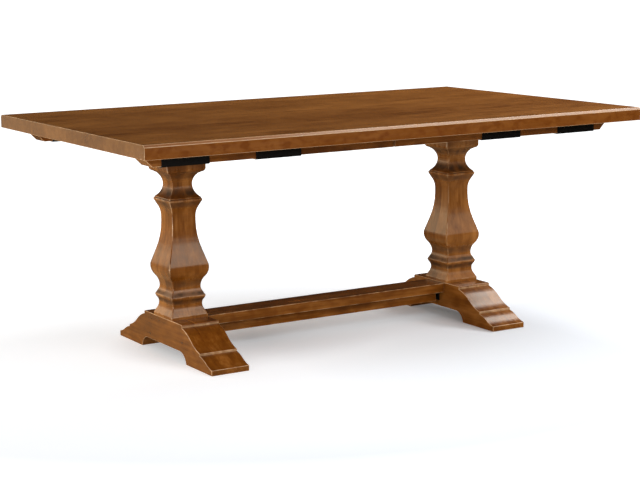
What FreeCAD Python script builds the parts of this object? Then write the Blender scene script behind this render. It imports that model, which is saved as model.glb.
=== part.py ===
import FreeCAD, Part
import Sketcher
import math
import os
import re

# A trestle table: glued top, two columns on sledge feet, a low stretcher and four pull-out bars.
# Millimetres, +X along the table, +Z up, origin on the floor under the middle of the top.

BOARD_COUNT = 8
BATTEN_SCREW_COUNT = 5
SIDES = {"left": -1, "right": 1}
ROWS = {"front": -1, "back": 1}

SIZES = {
    # table top
    "top_length": 1829,
    "top_width": 1118,
    "top_thickness": 43,
    "top_chamfer": 7,
    # feet, measured along the table's width
    "trestle_spacing": 1078,
    "foot_width": 132,
    "foot_length": 672,
    "foot_height": 124,
    "foot_flat_length": 275,
    "foot_edge_ease": 4,
    "foot_upper_step": 6,
    "foot_ogee_radius": 150,
    "foot_lower_step": 7,
    "foot_lower_height": 48,
    "foot_toe_run": 78,
    "foot_toe_radius": 110,
    "foot_toe_height": 18,
    "arch_length": 322,
    "arch_height": 36,
    "arch_corner_run": 43,
    # column mouldings from the foot upwards, heights first and then half widths
    "base_band_height": 9,
    "base_flare_height": 14,
    "base_cove_height": 21,
    "ring_cove_height": 18,
    "ring_lip_height": 8,
    "ring_slope_height": 16,
    "groove_cove_height": 14,
    "belly_rise_height": 64,
    "belly_crown_height": 12,
    "taper_height": 42,
    "waist_cove_height": 94,
    "waist_height": 16,
    "collar_cove_height": 35,
    "collar_slope_height": 18,
    "collar_edge_height": 3.5,
    "collar_ledge_height": 2.5,
    "collar_fillet_height": 3,
    "neck_cove_height": 42,
    "cap_cove_height": 37,
    "cap_fillet_height": 2.5,
    "cap_ovolo_height": 13,
    "cap_block_height": 66.5,
    "flare_half": 58.7,
    "low_neck_half": 52.6,
    "ring_half": 62,
    "ring_lip_drop": 3,
    "ring_slope_drop": 8.6,
    "groove_half": 49.9,
    "belly_half": 71.6,
    "belly_crown_drop": 1.8,
    "taper_half": 56.7,
    "waist_half": 42,
    "collar_half": 59.5,
    "collar_cove_drop": 9,
    "collar_ledge_drop": 3,
    "neck_half": 35.4,
    "cap_half": 69,
    "cap_ovolo_drop": 13,
    "cap_fillet_drop": 3.5,
    # tenons at both ends of a column, and the room left around every tenon
    "column_tenon": 60,
    "foot_tenon_depth": 25,
    "bolster_tenon_depth": 10,
    "tenon_play": 0.2,
    # bolsters between the columns and the top
    "bolster_thickness": 38,
    "bolster_width": 110,
    "bolster_end_gap": 12,
    "bolster_undercut": 24,
    "bolster_nose": 14,
    # tie rods with their nuts and washers
    "rod_diameter": 12,
    "rod_play": 0.5,
    "rod_spare": 3,
    "nut_flats": 19,
    "nut_height": 10,
    "washer_diameter": 36,
    "washer_thickness": 3,
    "pocket_play": 1,
    "pocket_spare": 3,
    # stretcher board, batten and brackets
    "stretcher_width": 100,
    "stretcher_thickness": 32.5,
    "stretcher_drop": 2,
    "stretcher_tenon_length": 18,
    "stretcher_tenon_width": 64,
    "stretcher_tenon_thickness": 16,
    "batten_width": 50,
    "batten_height": 34.5,
    "batten_end_gap": 18,
    "batten_screw_inset": 60,
    "bracket_sheet": 3,
    "bracket_width": 44,
    "bracket_leg": 15,
    "bracket_drop": 30,
    "bracket_screw_pitch": 26,
    # slide bars and their stop pegs
    "slider_width": 72,
    "slider_height": 36,
    "slider_play": 0.5,
    "slider_edge_inset": 115,
    "slider_end_inset": 49.5,
    "slider_middle_gap": 4,
    "slider_undercut": 28,
    "slider_nose": 8,
    "peg_diameter": 10,
    "peg_inset": 20,
    "peg_depth": 15,
    "peg_reach": 10,
    # guides
    "guide_sheet": 2.5,
    "guide_length": 156,
    "guide_pitch": 312,
    "guide_end_setback": 57,
    "guide_flange": 24,
    "guide_screw_margin": 22,
    # screws: small ones hold guides and brackets, middle ones the batten, large ones the bolsters
    "small_screw_shank": 4,
    "small_screw_head": 8,
    "small_screw_head_height": 2.8,
    "small_screw_length": 22,
    "middle_screw_shank": 5,
    "middle_screw_head": 9.5,
    "middle_screw_head_height": 3.2,
    "middle_screw_length": 42,
    "middle_screw_sink": 14,
    "large_screw_shank": 6,
    "large_screw_head": 12,
    "large_screw_head_height": 4,
    "large_screw_length": 52,
    "large_screw_sink": 10,
    "large_screw_cap_gap": 21,
    "large_screw_end_inset": 37,
    "large_screw_spread": 60,
    "screw_play": 0.1,
}

# Heights and positions that follow from the sizes.
PLACES = {
    "base_top": "foot_height + base_band_height",
    "flare_top": "base_top + base_flare_height",
    "low_neck_level": "flare_top + base_cove_height",
    "ring_lip_level": "low_neck_level + ring_cove_height",
    "ring_level": "ring_lip_level + ring_lip_height",
    "ring_top": "ring_level + ring_slope_height",
    "groove_level": "ring_top + groove_cove_height",
    "belly_level": "groove_level + belly_rise_height",
    "belly_top": "belly_level + belly_crown_height",
    "taper_top": "belly_top + taper_height",
    "waist_level": "taper_top + waist_cove_height",
    "waist_top": "waist_level + waist_height",
    "collar_bottom": "waist_top + collar_cove_height",
    "collar_level": "collar_bottom + collar_slope_height",
    "collar_top": "collar_level + collar_edge_height",
    "collar_fillet_level": "collar_top + collar_ledge_height",
    "collar_fillet_top": "collar_fillet_level + collar_fillet_height",
    "neck_level": "collar_fillet_top + neck_cove_height",
    "cap_cove_top": "neck_level + cap_cove_height",
    "cap_ovolo_level": "cap_cove_top + cap_fillet_height",
    "cap_level": "cap_ovolo_level + cap_ovolo_height",
    "bolster_level": "cap_level + cap_block_height",
    "underside": "bolster_level + bolster_thickness",
    "board_width": f"top_width / {BOARD_COUNT}",
    "trestle_offset": "trestle_spacing / 2",
    "upper_step_level": "foot_height - foot_edge_ease - foot_upper_step",
    "lower_step_reach": "foot_length / 2 - foot_toe_run",
    "lower_step_top": "foot_lower_height + foot_lower_step",
    "rod_radius": "rod_diameter / 2",
    "pocket_depth": "washer_thickness + nut_height + rod_spare + pocket_spare",
    "lower_washer_level": "arch_height + pocket_depth - washer_thickness",
    "lower_nut_level": "lower_washer_level - nut_height",
    "upper_washer_level": "underside - pocket_depth",
    "upper_nut_level": "upper_washer_level + washer_thickness",
    "rod_bottom": "lower_nut_level - rod_spare",
    "rod_top": "upper_nut_level + nut_height + rod_spare",
    "stretcher_top": "foot_height - stretcher_drop",
    "stretcher_bottom": "stretcher_top - stretcher_thickness",
    "stretcher_half": "trestle_offset - foot_width / 2",
    "tenon_bottom": "stretcher_top - stretcher_thickness / 2 - stretcher_tenon_thickness / 2",
    "batten_bottom": "stretcher_bottom - batten_height",
    "batten_half": "stretcher_half - batten_end_gap",
    "bracket_screw_level": "stretcher_bottom - bracket_sheet - bracket_drop / 2",
    "bracket_screw_reach": "(bracket_leg + bracket_sheet) / 2",
    "slider_y": "top_width / 2 - slider_edge_inset - slider_width / 2",
    "slider_length": "top_length / 2 - slider_end_inset - slider_middle_gap / 2",
    "slider_bottom": "underside - slider_play - slider_height",
    "guide_inner_half": "slider_width / 2 + slider_play",
    "guide_outer_half": "guide_inner_half + guide_sheet",
    "guide_flange_half": "guide_outer_half + guide_flange",
    "guide_depth": "slider_height + 2 * slider_play",
    "guide_outer_x": "top_length / 2 - slider_end_inset - guide_end_setback - guide_length / 2",
    "guide_inner_x": "guide_outer_x - guide_pitch",
    "guide_screw_x": "guide_length / 2 - guide_screw_margin",
    "guide_screw_y": "guide_outer_half + guide_flange / 2",
    "bolster_half": "slider_y - guide_flange_half - bolster_end_gap",
    "large_screw_inner": "cap_half + large_screw_cap_gap",
    "large_screw_outer": "bolster_half - large_screw_end_inset",
    "small_screw_hole": "small_screw_shank / 2 + screw_play",
    "middle_screw_hole": "middle_screw_shank / 2 + screw_play",
    "large_screw_hole": "large_screw_shank / 2 + screw_play",
    "large_screw_pocket": "large_screw_head / 2 + pocket_play",
}

doc = FreeCAD.newDocument("harvest_table")
sheet = doc.addObject("Spreadsheet::Sheet", "sizes")
for row, (alias, size) in enumerate(SIZES.items(), start=1):
    sheet.set(f"A{row}", alias)
    sheet.set(f"B{row}", str(size))
    sheet.setAlias(f"B{row}", alias)
doc.recompute()

sub_parts = []


def cells(expression):
    """The expression with each size named by its cell and each place written out."""
    def cell(match):
        word = match.group(0)
        if word in SIZES:
            return f"sizes.{word}"
        if word in PLACES:
            return f"({cells(PLACES[word])})"
        return word
    return re.sub(r"[a-z]\w*", cell, expression)


def number(expression):
    return float(sheet.evalExpression(cells(expression)))


def bind(thing, **expressions):
    for prop, expression in expressions.items():
        thing.setExpression(prop, cells(expression))


def place(thing, x="0", y="0", z="0", turn=0):
    """Put a thing at three expressions, turned about the upright axis by a fixed angle."""
    thing.Placement = FreeCAD.Placement(FreeCAD.Vector(), FreeCAD.Rotation(FreeCAD.Vector(0, 0, 1), turn))
    for axis, expression in (("x", x), ("y", y), ("z", z)):
        thing.setExpression(f"Placement.Base.{axis}", cells(expression))
    return thing


def finish(thing, label):
    """Name a finished sub-part."""
    thing.Label = label
    sub_parts.append(thing)
    return thing


def arc_centre(start, end, edge):
    """Centre of the arc from start to end: level or plumb with one end, or of a given radius."""
    kind, which = edge
    (u0, v0), (u1, v1) = (start, end) if which != "end" else (end, start)
    if kind == "level":
        return (u1 ** 2 - u0 ** 2 + (v1 - v0) ** 2) / (2 * (u1 - u0)), v0
    if kind == "plumb":
        return u0, (v1 ** 2 - v0 ** 2 + (u1 - u0) ** 2) / (2 * (v1 - v0))
    chord = math.hypot(u1 - u0, v1 - v0)
    reach = math.sqrt(number(kind) ** 2 - chord ** 2 / 4) / chord * (1 if which == "left" else -1)
    return (u0 + u1) / 2 - reach * (v1 - v0), (v0 + v1) / 2 + reach * (u1 - u0)


def edge_curve(start, end, edge):
    if edge is None:
        return Part.LineSegment(FreeCAD.Vector(*start, 0), FreeCAD.Vector(*end, 0))
    centre = FreeCAD.Vector(*arc_centre(start, end, edge), 0)
    first = FreeCAD.Vector(*start, 0)
    last = FreeCAD.Vector(*end, 0)
    middle = centre + ((first + last) / 2 - centre).normalize() * (first - centre).Length
    return Part.Arc(first, middle, last)


def outline(body, plane_role, corners):
    """Closed sketch on the body's own plane, every corner held by two expressions.

    A corner is (u, v, edge). The edge leaves that corner: None is straight, ("level", end) an arc upright at
    that end, ("plumb", end) an arc flat at that end, and (radius, side) an arc whose centre is on that side.
    """
    sketch = body.newObject("Sketcher::SketchObject", f"{body.Name}_outline")
    plane = next(item for item in body.Origin.OriginFeatures if item.Role == plane_role)
    sketch.AttachmentSupport = [(plane, "")]
    sketch.MapMode = "FlatFace"
    points = [(number(u), number(v)) for u, v, edge in corners]
    ends = []
    for index, (u, v, edge) in enumerate(corners):
        start = points[index]
        end = points[(index + 1) % len(points)]
        curve = sketch.addGeometry(edge_curve(start, end, edge))
        first = sketch.getPoint(curve, 1)
        starts_first = math.hypot(first.x - start[0], first.y - start[1]) < 1e-6
        ends.append((curve, 1, 2) if starts_first else (curve, 2, 1))
    rules = []
    bound = {}
    for index, (u, v, edge) in enumerate(corners):
        curve, start, end = ends[index]
        following, following_start, _ = ends[(index + 1) % len(ends)]
        rules.append(Sketcher.Constraint("Coincident", curve, end, following, following_start))
        for kind, axis, expression, value in (("DistanceX", -2, u, points[index][0]),
                                              ("DistanceY", -1, v, points[index][1])):
            if expression == "0":
                rules.append(Sketcher.Constraint("PointOnObject", curve, start, axis))
            else:
                bound[len(rules)] = expression
                rules.append(Sketcher.Constraint(kind, -1, 1, curve, start, value))
        if edge is None:
            continue
        kind, which = edge
        if kind in ("level", "plumb"):
            direction = "Horizontal" if kind == "level" else "Vertical"
            rules.append(Sketcher.Constraint(direction, curve, 3, curve, start if which == "start" else end))
        else:
            bound[len(rules)] = kind
            rules.append(Sketcher.Constraint("Radius", curve, number(kind)))
    sketch.addConstraint(rules)
    for index, expression in bound.items():
        sketch.setExpression(f"Constraints[{index}]", cells(expression))
    return sketch


def symmetric_pad(name, plane_role, corners, thickness):
    """A body padded from an outline, half to each side of its plane."""
    body = doc.addObject("PartDesign::Body", name)
    sketch = outline(body, plane_role, corners)
    pad = body.newObject("PartDesign::Pad", f"{name}_pad")
    pad.Profile = sketch
    pad.SideType = "Symmetric"
    bind(pad, Length=thickness)
    body.Tip = pad
    return body


def mirrored(corners):
    """A full outline from its right half, which runs from the bottom to the top."""
    left = []
    for index in range(len(corners) - 1, -1, -1):
        u, v, _ = corners[index]
        edge = corners[index - 1][2] if index else None
        if edge and edge[1] in ("start", "end"):
            edge = (edge[0], "end" if edge[1] == "start" else "start")
        left.append((f"-({u})", v, edge))
    return corners + left


def box(name, length, width, height, x, y, z):
    """A block from three size expressions, standing on z and centred on x and y."""
    block = doc.addObject("Part::Box", name)
    bind(block, Length=length, Width=width, Height=height)
    return place(block, f"{x} - ({length}) / 2", f"{y} - ({width}) / 2", z)


def rod(name, radius, height, x="0", y="0", z="0", along="z"):
    """A cylinder that starts at a point and runs along +X, +Y or +Z."""
    cylinder = doc.addObject("Part::Cylinder", name)
    bind(cylinder, Radius=radius, Height=height)
    place(cylinder, x, y, z)
    turns = {"x": (FreeCAD.Vector(0, 1, 0), 90), "y": (FreeCAD.Vector(1, 0, 0), -90)}
    if along in turns:
        cylinder.Placement.Rotation = FreeCAD.Rotation(*turns[along])
    return cylinder


def joined(name, things):
    fuse = doc.addObject("Part::MultiFuse", name)
    fuse.Shapes = things
    return fuse


def cut(name, base, tools):
    """The base with the tools taken out of it."""
    result = doc.addObject("Part::Cut", name)
    result.Base = base
    result.Tool = joined(f"{name}_tools", tools) if len(tools) > 1 else tools[0]
    return result


def upright_screw(name, kind, x, y, seat):
    """Head below the seat and shank above it, as two cylinders."""
    head = rod(f"{name}_head", f"{kind}_screw_head / 2", f"{kind}_screw_head_height",
               x, y, f"{seat} - {kind}_screw_head_height")
    shank = rod(f"{name}_shank", f"{kind}_screw_shank / 2", f"{kind}_screw_length", x, y, seat)
    return [head, shank]


def upright_pilot(name, kind, x, y, seat):
    """Hole that a screw's shank goes up into, with a little room around it and above it."""
    return rod(name, f"{kind}_screw_hole", f"{kind}_screw_length + screw_play", x, y, seat)


def guide_screw_spots(side, row):
    """Positions of the screws of one bar's two guides."""
    spots = []
    for guide_x in ("guide_outer_x", "guide_inner_x"):
        for along in (-1, 1):
            for across in (-1, 1):
                spots.append((f"{SIDES[side]} * ({guide_x} + {along} * guide_screw_x)",
                              f"{ROWS[row]} * slider_y + {across} * guide_screw_y"))
    return spots


def bolster_screw_spots():
    """Positions of a bolster's screws from its own middle: two wings, three screws in each."""
    spots = []
    for across in (-1, 1):
        for along in (-1, 1):
            spots.append((f"{along} * large_screw_spread / 2", f"{across} * large_screw_outer"))
        spots.append(("0", f"{across} * large_screw_inner"))
    return spots


def batten_screw_xs():
    """Screws evenly spaced between the insets at the batten's ends."""
    shares = [2 * step / (BATTEN_SCREW_COUNT - 1) - 1 for step in range(BATTEN_SCREW_COUNT)]
    return [f"(batten_half - batten_screw_inset) * {share}" for share in shares]


def table_top():
    """Edge-glued boards, side by side across the width, with pilot holes for what hangs below."""
    pilots = []
    for side in SIDES:
        for row in ROWS:
            for index, (x, y) in enumerate(guide_screw_spots(side, row), start=1):
                pilots.append(upright_pilot(f"top_pilot_{side}_{row}_{index}", "small", x, y,
                                            "underside - guide_sheet"))
        for index, (x, y) in enumerate(bolster_screw_spots(), start=1):
            pilots.append(upright_pilot(f"top_pilot_{side}_bolster_{index}", "large",
                                        f"{SIDES[side]} * trestle_offset + {x}", y,
                                        "bolster_level + large_screw_sink"))
    holes = joined("top_pilots", pilots)
    for index in range(BOARD_COUNT):
        corners = [("-board_width / 2", "0", None), ("board_width / 2", "0", None)]
        if index == BOARD_COUNT - 1:
            corners += [("board_width / 2", "top_thickness - top_chamfer", None),
                        ("board_width / 2 - top_chamfer", "top_thickness", None)]
        else:
            corners += [("board_width / 2", "top_thickness", None)]
        if index == 0:
            corners += [("-board_width / 2 + top_chamfer", "top_thickness", None),
                        ("-board_width / 2", "top_thickness - top_chamfer", None)]
        else:
            corners += [("-board_width / 2", "top_thickness", None)]
        blank = symmetric_pad(f"board_blank_{index + 1}", "YZ_Plane", corners, "top_length")
        place(blank, "0", f"board_width * {index - (BOARD_COUNT - 1) / 2}", "underside")
        finish(cut(f"board_{index + 1}", blank, [holes]), f"top_board_{index + 1}")


def column_half():
    """Right half of the column's outline, from the foot to the bolster."""
    return [
        ("foot_width / 2", "foot_height", None),
        ("foot_width / 2", "base_top", None),
        ("flare_half", "flare_top", ("level", "end")),
        ("low_neck_half", "low_neck_level", ("level", "start")),
        ("ring_half - ring_lip_drop", "ring_lip_level", None),
        ("ring_half", "ring_level", None),
        ("ring_half - ring_slope_drop", "ring_top", ("level", "end")),
        ("groove_half", "groove_level", ("level", "start")),
        ("(groove_half + belly_half) / 2", "(groove_level + belly_level) / 2", ("level", "end")),
        ("belly_half", "belly_level", ("level", "start")),
        ("belly_half - belly_crown_drop", "belly_top", None),
        ("taper_half", "taper_top", ("level", "end")),
        ("waist_half", "waist_level", None),
        ("waist_half", "waist_top", ("level", "start")),
        ("collar_half - collar_cove_drop", "collar_bottom", None),
        ("collar_half", "collar_level", None),
        ("collar_half", "collar_top", None),
        ("collar_half - collar_ledge_drop", "collar_fillet_level", None),
        ("collar_half - collar_ledge_drop", "collar_fillet_top", ("level", "end")),
        ("neck_half", "neck_level", ("level", "start")),
        ("cap_half - cap_ovolo_drop - cap_fillet_drop", "cap_cove_top", None),
        ("cap_half - cap_ovolo_drop", "cap_cove_top", None),
        ("cap_half - cap_ovolo_drop", "cap_ovolo_level", ("level", "end")),
        ("cap_half", "cap_level", None),
        ("cap_half", "bolster_level", None),
    ]


def columns():
    """Square columns: the same outline seen from the front and from the side, with a tenon at each end."""
    reach = "2 * (foot_width + belly_half + cap_half)"
    front = symmetric_pad("column_front", "XZ_Plane", mirrored(column_half()), reach)
    flank = symmetric_pad("column_flank", "YZ_Plane", mirrored(column_half()), reach)
    shaft = doc.addObject("Part::Common", "column_shaft")
    shaft.Base = front
    shaft.Tool = flank
    lower = box("column_lower_tenon", "column_tenon", "column_tenon", "foot_tenon_depth",
                "0", "0", "foot_height - foot_tenon_depth")
    upper = box("column_upper_tenon", "column_tenon", "column_tenon", "bolster_tenon_depth",
                "0", "0", "bolster_level")
    blank = joined("column_blank", [shaft, lower, upper])
    bore = rod("column_bore", "rod_radius + rod_play", "bolster_level + bolster_tenon_depth")
    for side, sign in SIDES.items():
        column = cut(f"column_{side}", blank, [bore])
        finish(place(column, f"{sign} * trestle_offset"), f"column_{side}")


def foot_half():
    """Right half of the foot's outline, from the arch round the toe to the top."""
    return [
        ("arch_length / 2 - arch_corner_run", "arch_height", ("plumb", "start")),
        ("arch_length / 2", "0", None),
        ("foot_length / 2", "0", None),
        ("foot_length / 2", "foot_toe_height", ("foot_toe_radius", "right")),
        ("(foot_length / 2 + lower_step_reach) / 2", "(foot_toe_height + foot_lower_height) / 2",
         ("foot_toe_radius", "left")),
        ("lower_step_reach", "foot_lower_height", None),
        ("lower_step_reach", "lower_step_top", ("foot_ogee_radius", "right")),
        ("(lower_step_reach + foot_flat_length / 2) / 2", "(lower_step_top + upper_step_level) / 2",
         ("foot_ogee_radius", "left")),
        ("foot_flat_length / 2", "upper_step_level", None),
        ("foot_flat_length / 2", "foot_height - foot_edge_ease", ("plumb", "end")),
        ("foot_flat_length / 2 - foot_edge_ease", "foot_height", None),
    ]


def feet():
    """Sledge feet with the mortises for the column and the stretcher, and the rod's bore and nut pocket."""
    blank = symmetric_pad("foot_blank", "YZ_Plane", mirrored(foot_half()), "foot_width")
    tools = [
        box("foot_column_mortise", "column_tenon + 2 * tenon_play", "column_tenon + 2 * tenon_play",
            "foot_tenon_depth + tenon_play", "0", "0", "foot_height - foot_tenon_depth - tenon_play"),
        box("foot_stretcher_mortise", "stretcher_tenon_length + tenon_play",
            "stretcher_tenon_width + 2 * tenon_play", "stretcher_tenon_thickness + 2 * tenon_play",
            "foot_width / 2 - (stretcher_tenon_length + tenon_play) / 2", "0", "tenon_bottom - tenon_play"),
        rod("foot_bore", "rod_radius + rod_play", "foot_height"),
        rod("foot_nut_pocket", "washer_diameter / 2 + pocket_play", "arch_height + pocket_depth"),
    ]
    for across in (-1, 1):
        tools.append(rod(f"foot_bracket_pilot_{across + 2}", "small_screw_hole",
                         "small_screw_length - bracket_sheet + screw_play",
                         "foot_width / 2 - small_screw_length + bracket_sheet - screw_play",
                         f"{across} * bracket_screw_pitch / 2", "bracket_screw_level", "x"))
    foot_tools = joined("foot_tools", tools)
    for side, sign in SIDES.items():
        foot = cut(f"foot_{side}", blank, [foot_tools])
        finish(place(foot, f"{sign} * trestle_offset", turn=0 if sign < 0 else 180), f"foot_{side}")


def bolsters():
    """Cross pieces under the top, undercut at both ends, screwed up into the boards."""
    corners = [
        ("bolster_half - bolster_undercut", "0", None),
        ("bolster_half", "bolster_thickness - bolster_nose", None),
        ("bolster_half", "bolster_thickness", None),
    ]
    blank = symmetric_pad("bolster_blank", "YZ_Plane", mirrored(corners), "bolster_width")
    tools = [
        box("bolster_mortise", "column_tenon + 2 * tenon_play", "column_tenon + 2 * tenon_play",
            "bolster_tenon_depth + tenon_play", "0", "0", "0"),
        rod("bolster_bore", "rod_radius + rod_play", "bolster_thickness"),
        rod("bolster_nut_pocket", "washer_diameter / 2 + pocket_play", "pocket_depth",
            z="bolster_thickness - pocket_depth"),
    ]
    for index, (x, y) in enumerate(bolster_screw_spots(), start=1):
        tools.append(rod(f"bolster_sink_{index}", "large_screw_pocket", "large_screw_sink", x, y))
        tools.append(rod(f"bolster_hole_{index}", "large_screw_hole", "bolster_thickness", x, y))
    bolster_tools = joined("bolster_tools", tools)
    for side, sign in SIDES.items():
        bolster = cut(f"bolster_{side}", blank, [bolster_tools])
        finish(place(bolster, f"{sign} * trestle_offset", "0", "bolster_level"), f"bolster_{side}")
        screws = []
        for index, (x, y) in enumerate(bolster_screw_spots(), start=1):
            screws += upright_screw(f"bolster_{side}_screw_{index}", "large",
                                    f"{sign} * trestle_offset + {x}", y, "bolster_level + large_screw_sink")
        finish(joined(f"bolster_screws_{side}", screws), f"bolster_screws_{side}")


def tie_rods():
    """A steel rod clamps each foot, column and bolster together between two washers and nuts."""
    for side, sign in SIDES.items():
        x = f"{sign} * trestle_offset"
        tie = rod(f"tie_rod_{side}", "rod_radius", "rod_top - rod_bottom", x, "0", "rod_bottom")
        finish(tie, f"tie_rod_{side}")
        washers = []
        nuts = []
        for end in ("lower", "upper"):
            disc = rod(f"washer_disc_{side}_{end}", "washer_diameter / 2", "washer_thickness", x, "0",
                       f"{end}_washer_level")
            hole = rod(f"washer_hole_{side}_{end}", "rod_radius + rod_play", "washer_thickness", x, "0",
                       f"{end}_washer_level")
            washers.append(cut(f"washer_{side}_{end}", disc, [hole]))
            hexagon = doc.addObject("Part::Prism", f"nut_block_{side}_{end}")
            hexagon.Polygon = 6
            bind(hexagon, Circumradius="nut_flats / 2 / cos(30)", Height="nut_height")
            place(hexagon, x, "0", f"{end}_nut_level")
            thread = rod(f"nut_thread_{side}_{end}", "rod_radius + screw_play", "nut_height", x, "0",
                         f"{end}_nut_level")
            nuts.append(cut(f"nut_{side}_{end}", hexagon, [thread]))
        finish(joined(f"rod_washers_{side}", washers), f"rod_washers_{side}")
        finish(joined(f"rod_nuts_{side}", nuts), f"rod_nuts_{side}")


def stretcher():
    """A flat board tenoned into both feet, with a narrower batten screwed on below it."""
    plank = box("stretcher_plank", "2 * stretcher_half", "stretcher_width", "stretcher_thickness",
                "0", "0", "stretcher_bottom")
    tenon = box("stretcher_tenon", "2 * (stretcher_half + stretcher_tenon_length)", "stretcher_tenon_width",
                "stretcher_tenon_thickness", "0", "0", "tenon_bottom")
    seat = "batten_bottom + middle_screw_sink"
    plank_tools = []
    batten_tools = []
    screws = []
    for index, x in enumerate(batten_screw_xs(), start=1):
        pilot = upright_pilot(f"batten_pilot_{index}", "middle", x, "0", seat)
        sink = rod(f"batten_sink_{index}", "middle_screw_head / 2 + pocket_play", "middle_screw_sink",
                   x, "0", "batten_bottom")
        plank_tools.append(pilot)
        batten_tools += [pilot, sink]
        screws += upright_screw(f"batten_screw_{index}", "middle", x, "0", seat)
    for side, sign in SIDES.items():
        for across in (-1, 1):
            plank_tools.append(upright_pilot(f"plank_pilot_{side}_{across + 2}", "small",
                                             f"{sign} * (stretcher_half - bracket_screw_reach)",
                                             f"{across} * bracket_screw_pitch / 2",
                                             "stretcher_bottom - bracket_sheet"))
    board = joined("stretcher_blank", [plank, tenon])
    finish(cut("stretcher_board", board, plank_tools), "stretcher_board")
    strip = box("batten_blank", "2 * batten_half", "batten_width", "batten_height",
                "0", "0", "batten_bottom")
    finish(cut("stretcher_batten", strip, batten_tools), "stretcher_batten")
    finish(joined("batten_screws", screws), "batten_screws")


def brackets():
    """Bent steel angles in the gaps at the batten's ends, which tie the stretcher to the feet."""
    corners = [
        ("0", "0", None),
        ("0", "-bracket_drop - bracket_sheet", None),
        ("-bracket_sheet", "-bracket_drop - bracket_sheet", None),
        ("-bracket_sheet", "-bracket_sheet", None),
        ("-bracket_leg", "-bracket_sheet", None),
        ("-bracket_leg", "0", None),
    ]
    blank = symmetric_pad("bracket_blank", "XZ_Plane", corners, "bracket_width")
    tools = []
    for across in (-1, 1):
        y = f"{across} * bracket_screw_pitch / 2"
        tools.append(rod(f"bracket_side_hole_{across + 2}", "small_screw_hole", "bracket_sheet",
                         "-bracket_sheet", y, "bracket_screw_level - stretcher_bottom", "x"))
        tools.append(rod(f"bracket_top_hole_{across + 2}", "small_screw_hole", "bracket_sheet",
                         "-bracket_screw_reach", y, "-bracket_sheet"))
    bracket_tools = joined("bracket_tools", tools)
    for side, sign in SIDES.items():
        bracket = cut(f"bracket_{side}", blank, [bracket_tools])
        place(bracket, f"{sign} * stretcher_half", "0", "stretcher_bottom", turn=0 if sign > 0 else 180)
        finish(bracket, f"stretcher_bracket_{side}")
        screws = []
        seat = f"{sign} * (stretcher_half - bracket_sheet)"
        for across in (-1, 1):
            y = f"{across} * bracket_screw_pitch / 2"
            screws += upright_screw(f"bracket_{side}_up_{across + 2}", "small",
                                    f"{sign} * (stretcher_half - bracket_screw_reach)", y,
                                    "stretcher_bottom - bracket_sheet")
            shank_start = seat if sign > 0 else f"{seat} - small_screw_length"
            head_start = f"{seat} - small_screw_head_height" if sign > 0 else seat
            screws.append(rod(f"bracket_{side}_shank_{across + 2}", "small_screw_shank / 2",
                              "small_screw_length", shank_start, y, "bracket_screw_level", "x"))
            screws.append(rod(f"bracket_{side}_head_{across + 2}", "small_screw_head / 2",
                              "small_screw_head_height", head_start, y, "bracket_screw_level", "x"))
        finish(joined(f"bracket_screws_{side}", screws), f"bracket_screws_{side}")


def sliders():
    """Pull-out bars with undercut ends. A peg on the hidden face meets the inner guide at full travel."""
    corners = [
        ("0", "0", None),
        ("slider_length - slider_undercut", "0", None),
        ("slider_length", "slider_height - slider_nose", None),
        ("slider_length", "slider_height", None),
        ("0", "slider_height", None),
    ]
    blank = symmetric_pad("slider_blank", "XZ_Plane", corners, "slider_width")
    for side, sign in SIDES.items():
        for row, depth in ROWS.items():
            inward = -sign * depth
            start = "slider_width / 2 - peg_depth" if inward > 0 else "-slider_width / 2"
            hole = rod(f"peg_hole_{row}_{side}", "peg_diameter / 2 + screw_play", "peg_depth",
                       "peg_inset", start, "slider_height / 2", "y")
            slider = cut(f"slider_{row}_{side}", blank, [hole])
            place(slider, f"{sign} * slider_middle_gap / 2", f"{depth} * slider_y", "slider_bottom",
                  turn=0 if sign > 0 else 180)
            finish(slider, f"slider_{row}_{side}")
            face = f"{depth} * (slider_y - slider_width / 2)"
            peg = rod(f"stop_peg_{row}_{side}", "peg_diameter / 2", "peg_depth + peg_reach",
                      f"{sign} * (slider_middle_gap / 2 + peg_inset)",
                      f"{face} - peg_reach" if depth > 0 else f"{face} - peg_depth",
                      "slider_bottom + slider_height / 2", "y")
            finish(peg, f"stop_peg_{row}_{side}")


def guides():
    """Bent steel straps around the bars, their flanges screwed to the underside of the top."""
    corners = [
        ("guide_outer_half", "-guide_depth - guide_sheet", None),
        ("guide_outer_half", "-guide_sheet", None),
        ("guide_flange_half", "-guide_sheet", None),
        ("guide_flange_half", "0", None),
        ("guide_inner_half", "0", None),
        ("guide_inner_half", "-guide_depth", None),
    ]
    blank = symmetric_pad("guide_blank", "YZ_Plane", mirrored(corners), "guide_length")
    holes = []
    for along in (-1, 1):
        for across in (-1, 1):
            holes.append(rod(f"guide_hole_{along + 2}_{across + 2}", "small_screw_hole", "guide_sheet",
                             f"{along} * guide_screw_x", f"{across} * guide_screw_y", "-guide_sheet"))
    guide_holes = joined("guide_holes", holes)
    for side, sign in SIDES.items():
        for row, depth in ROWS.items():
            for spot in ("outer", "inner"):
                guide = cut(f"guide_{row}_{side}_{spot}", blank, [guide_holes])
                place(guide, f"{sign} * guide_{spot}_x", f"{depth} * slider_y", "underside")
                finish(guide, f"guide_{row}_{side}_{spot}")
            screws = []
            for index, (x, y) in enumerate(guide_screw_spots(side, row), start=1):
                screws += upright_screw(f"guide_{row}_{side}_screw_{index}", "small", x, y,
                                        "underside - guide_sheet")
            finish(joined(f"guide_screws_{row}_{side}", screws), f"guide_screws_{row}_{side}")


table_top()
columns()
feet()
bolsters()
tie_rods()
stretcher()
brackets()
sliders()
guides()
doc.recompute()

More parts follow.
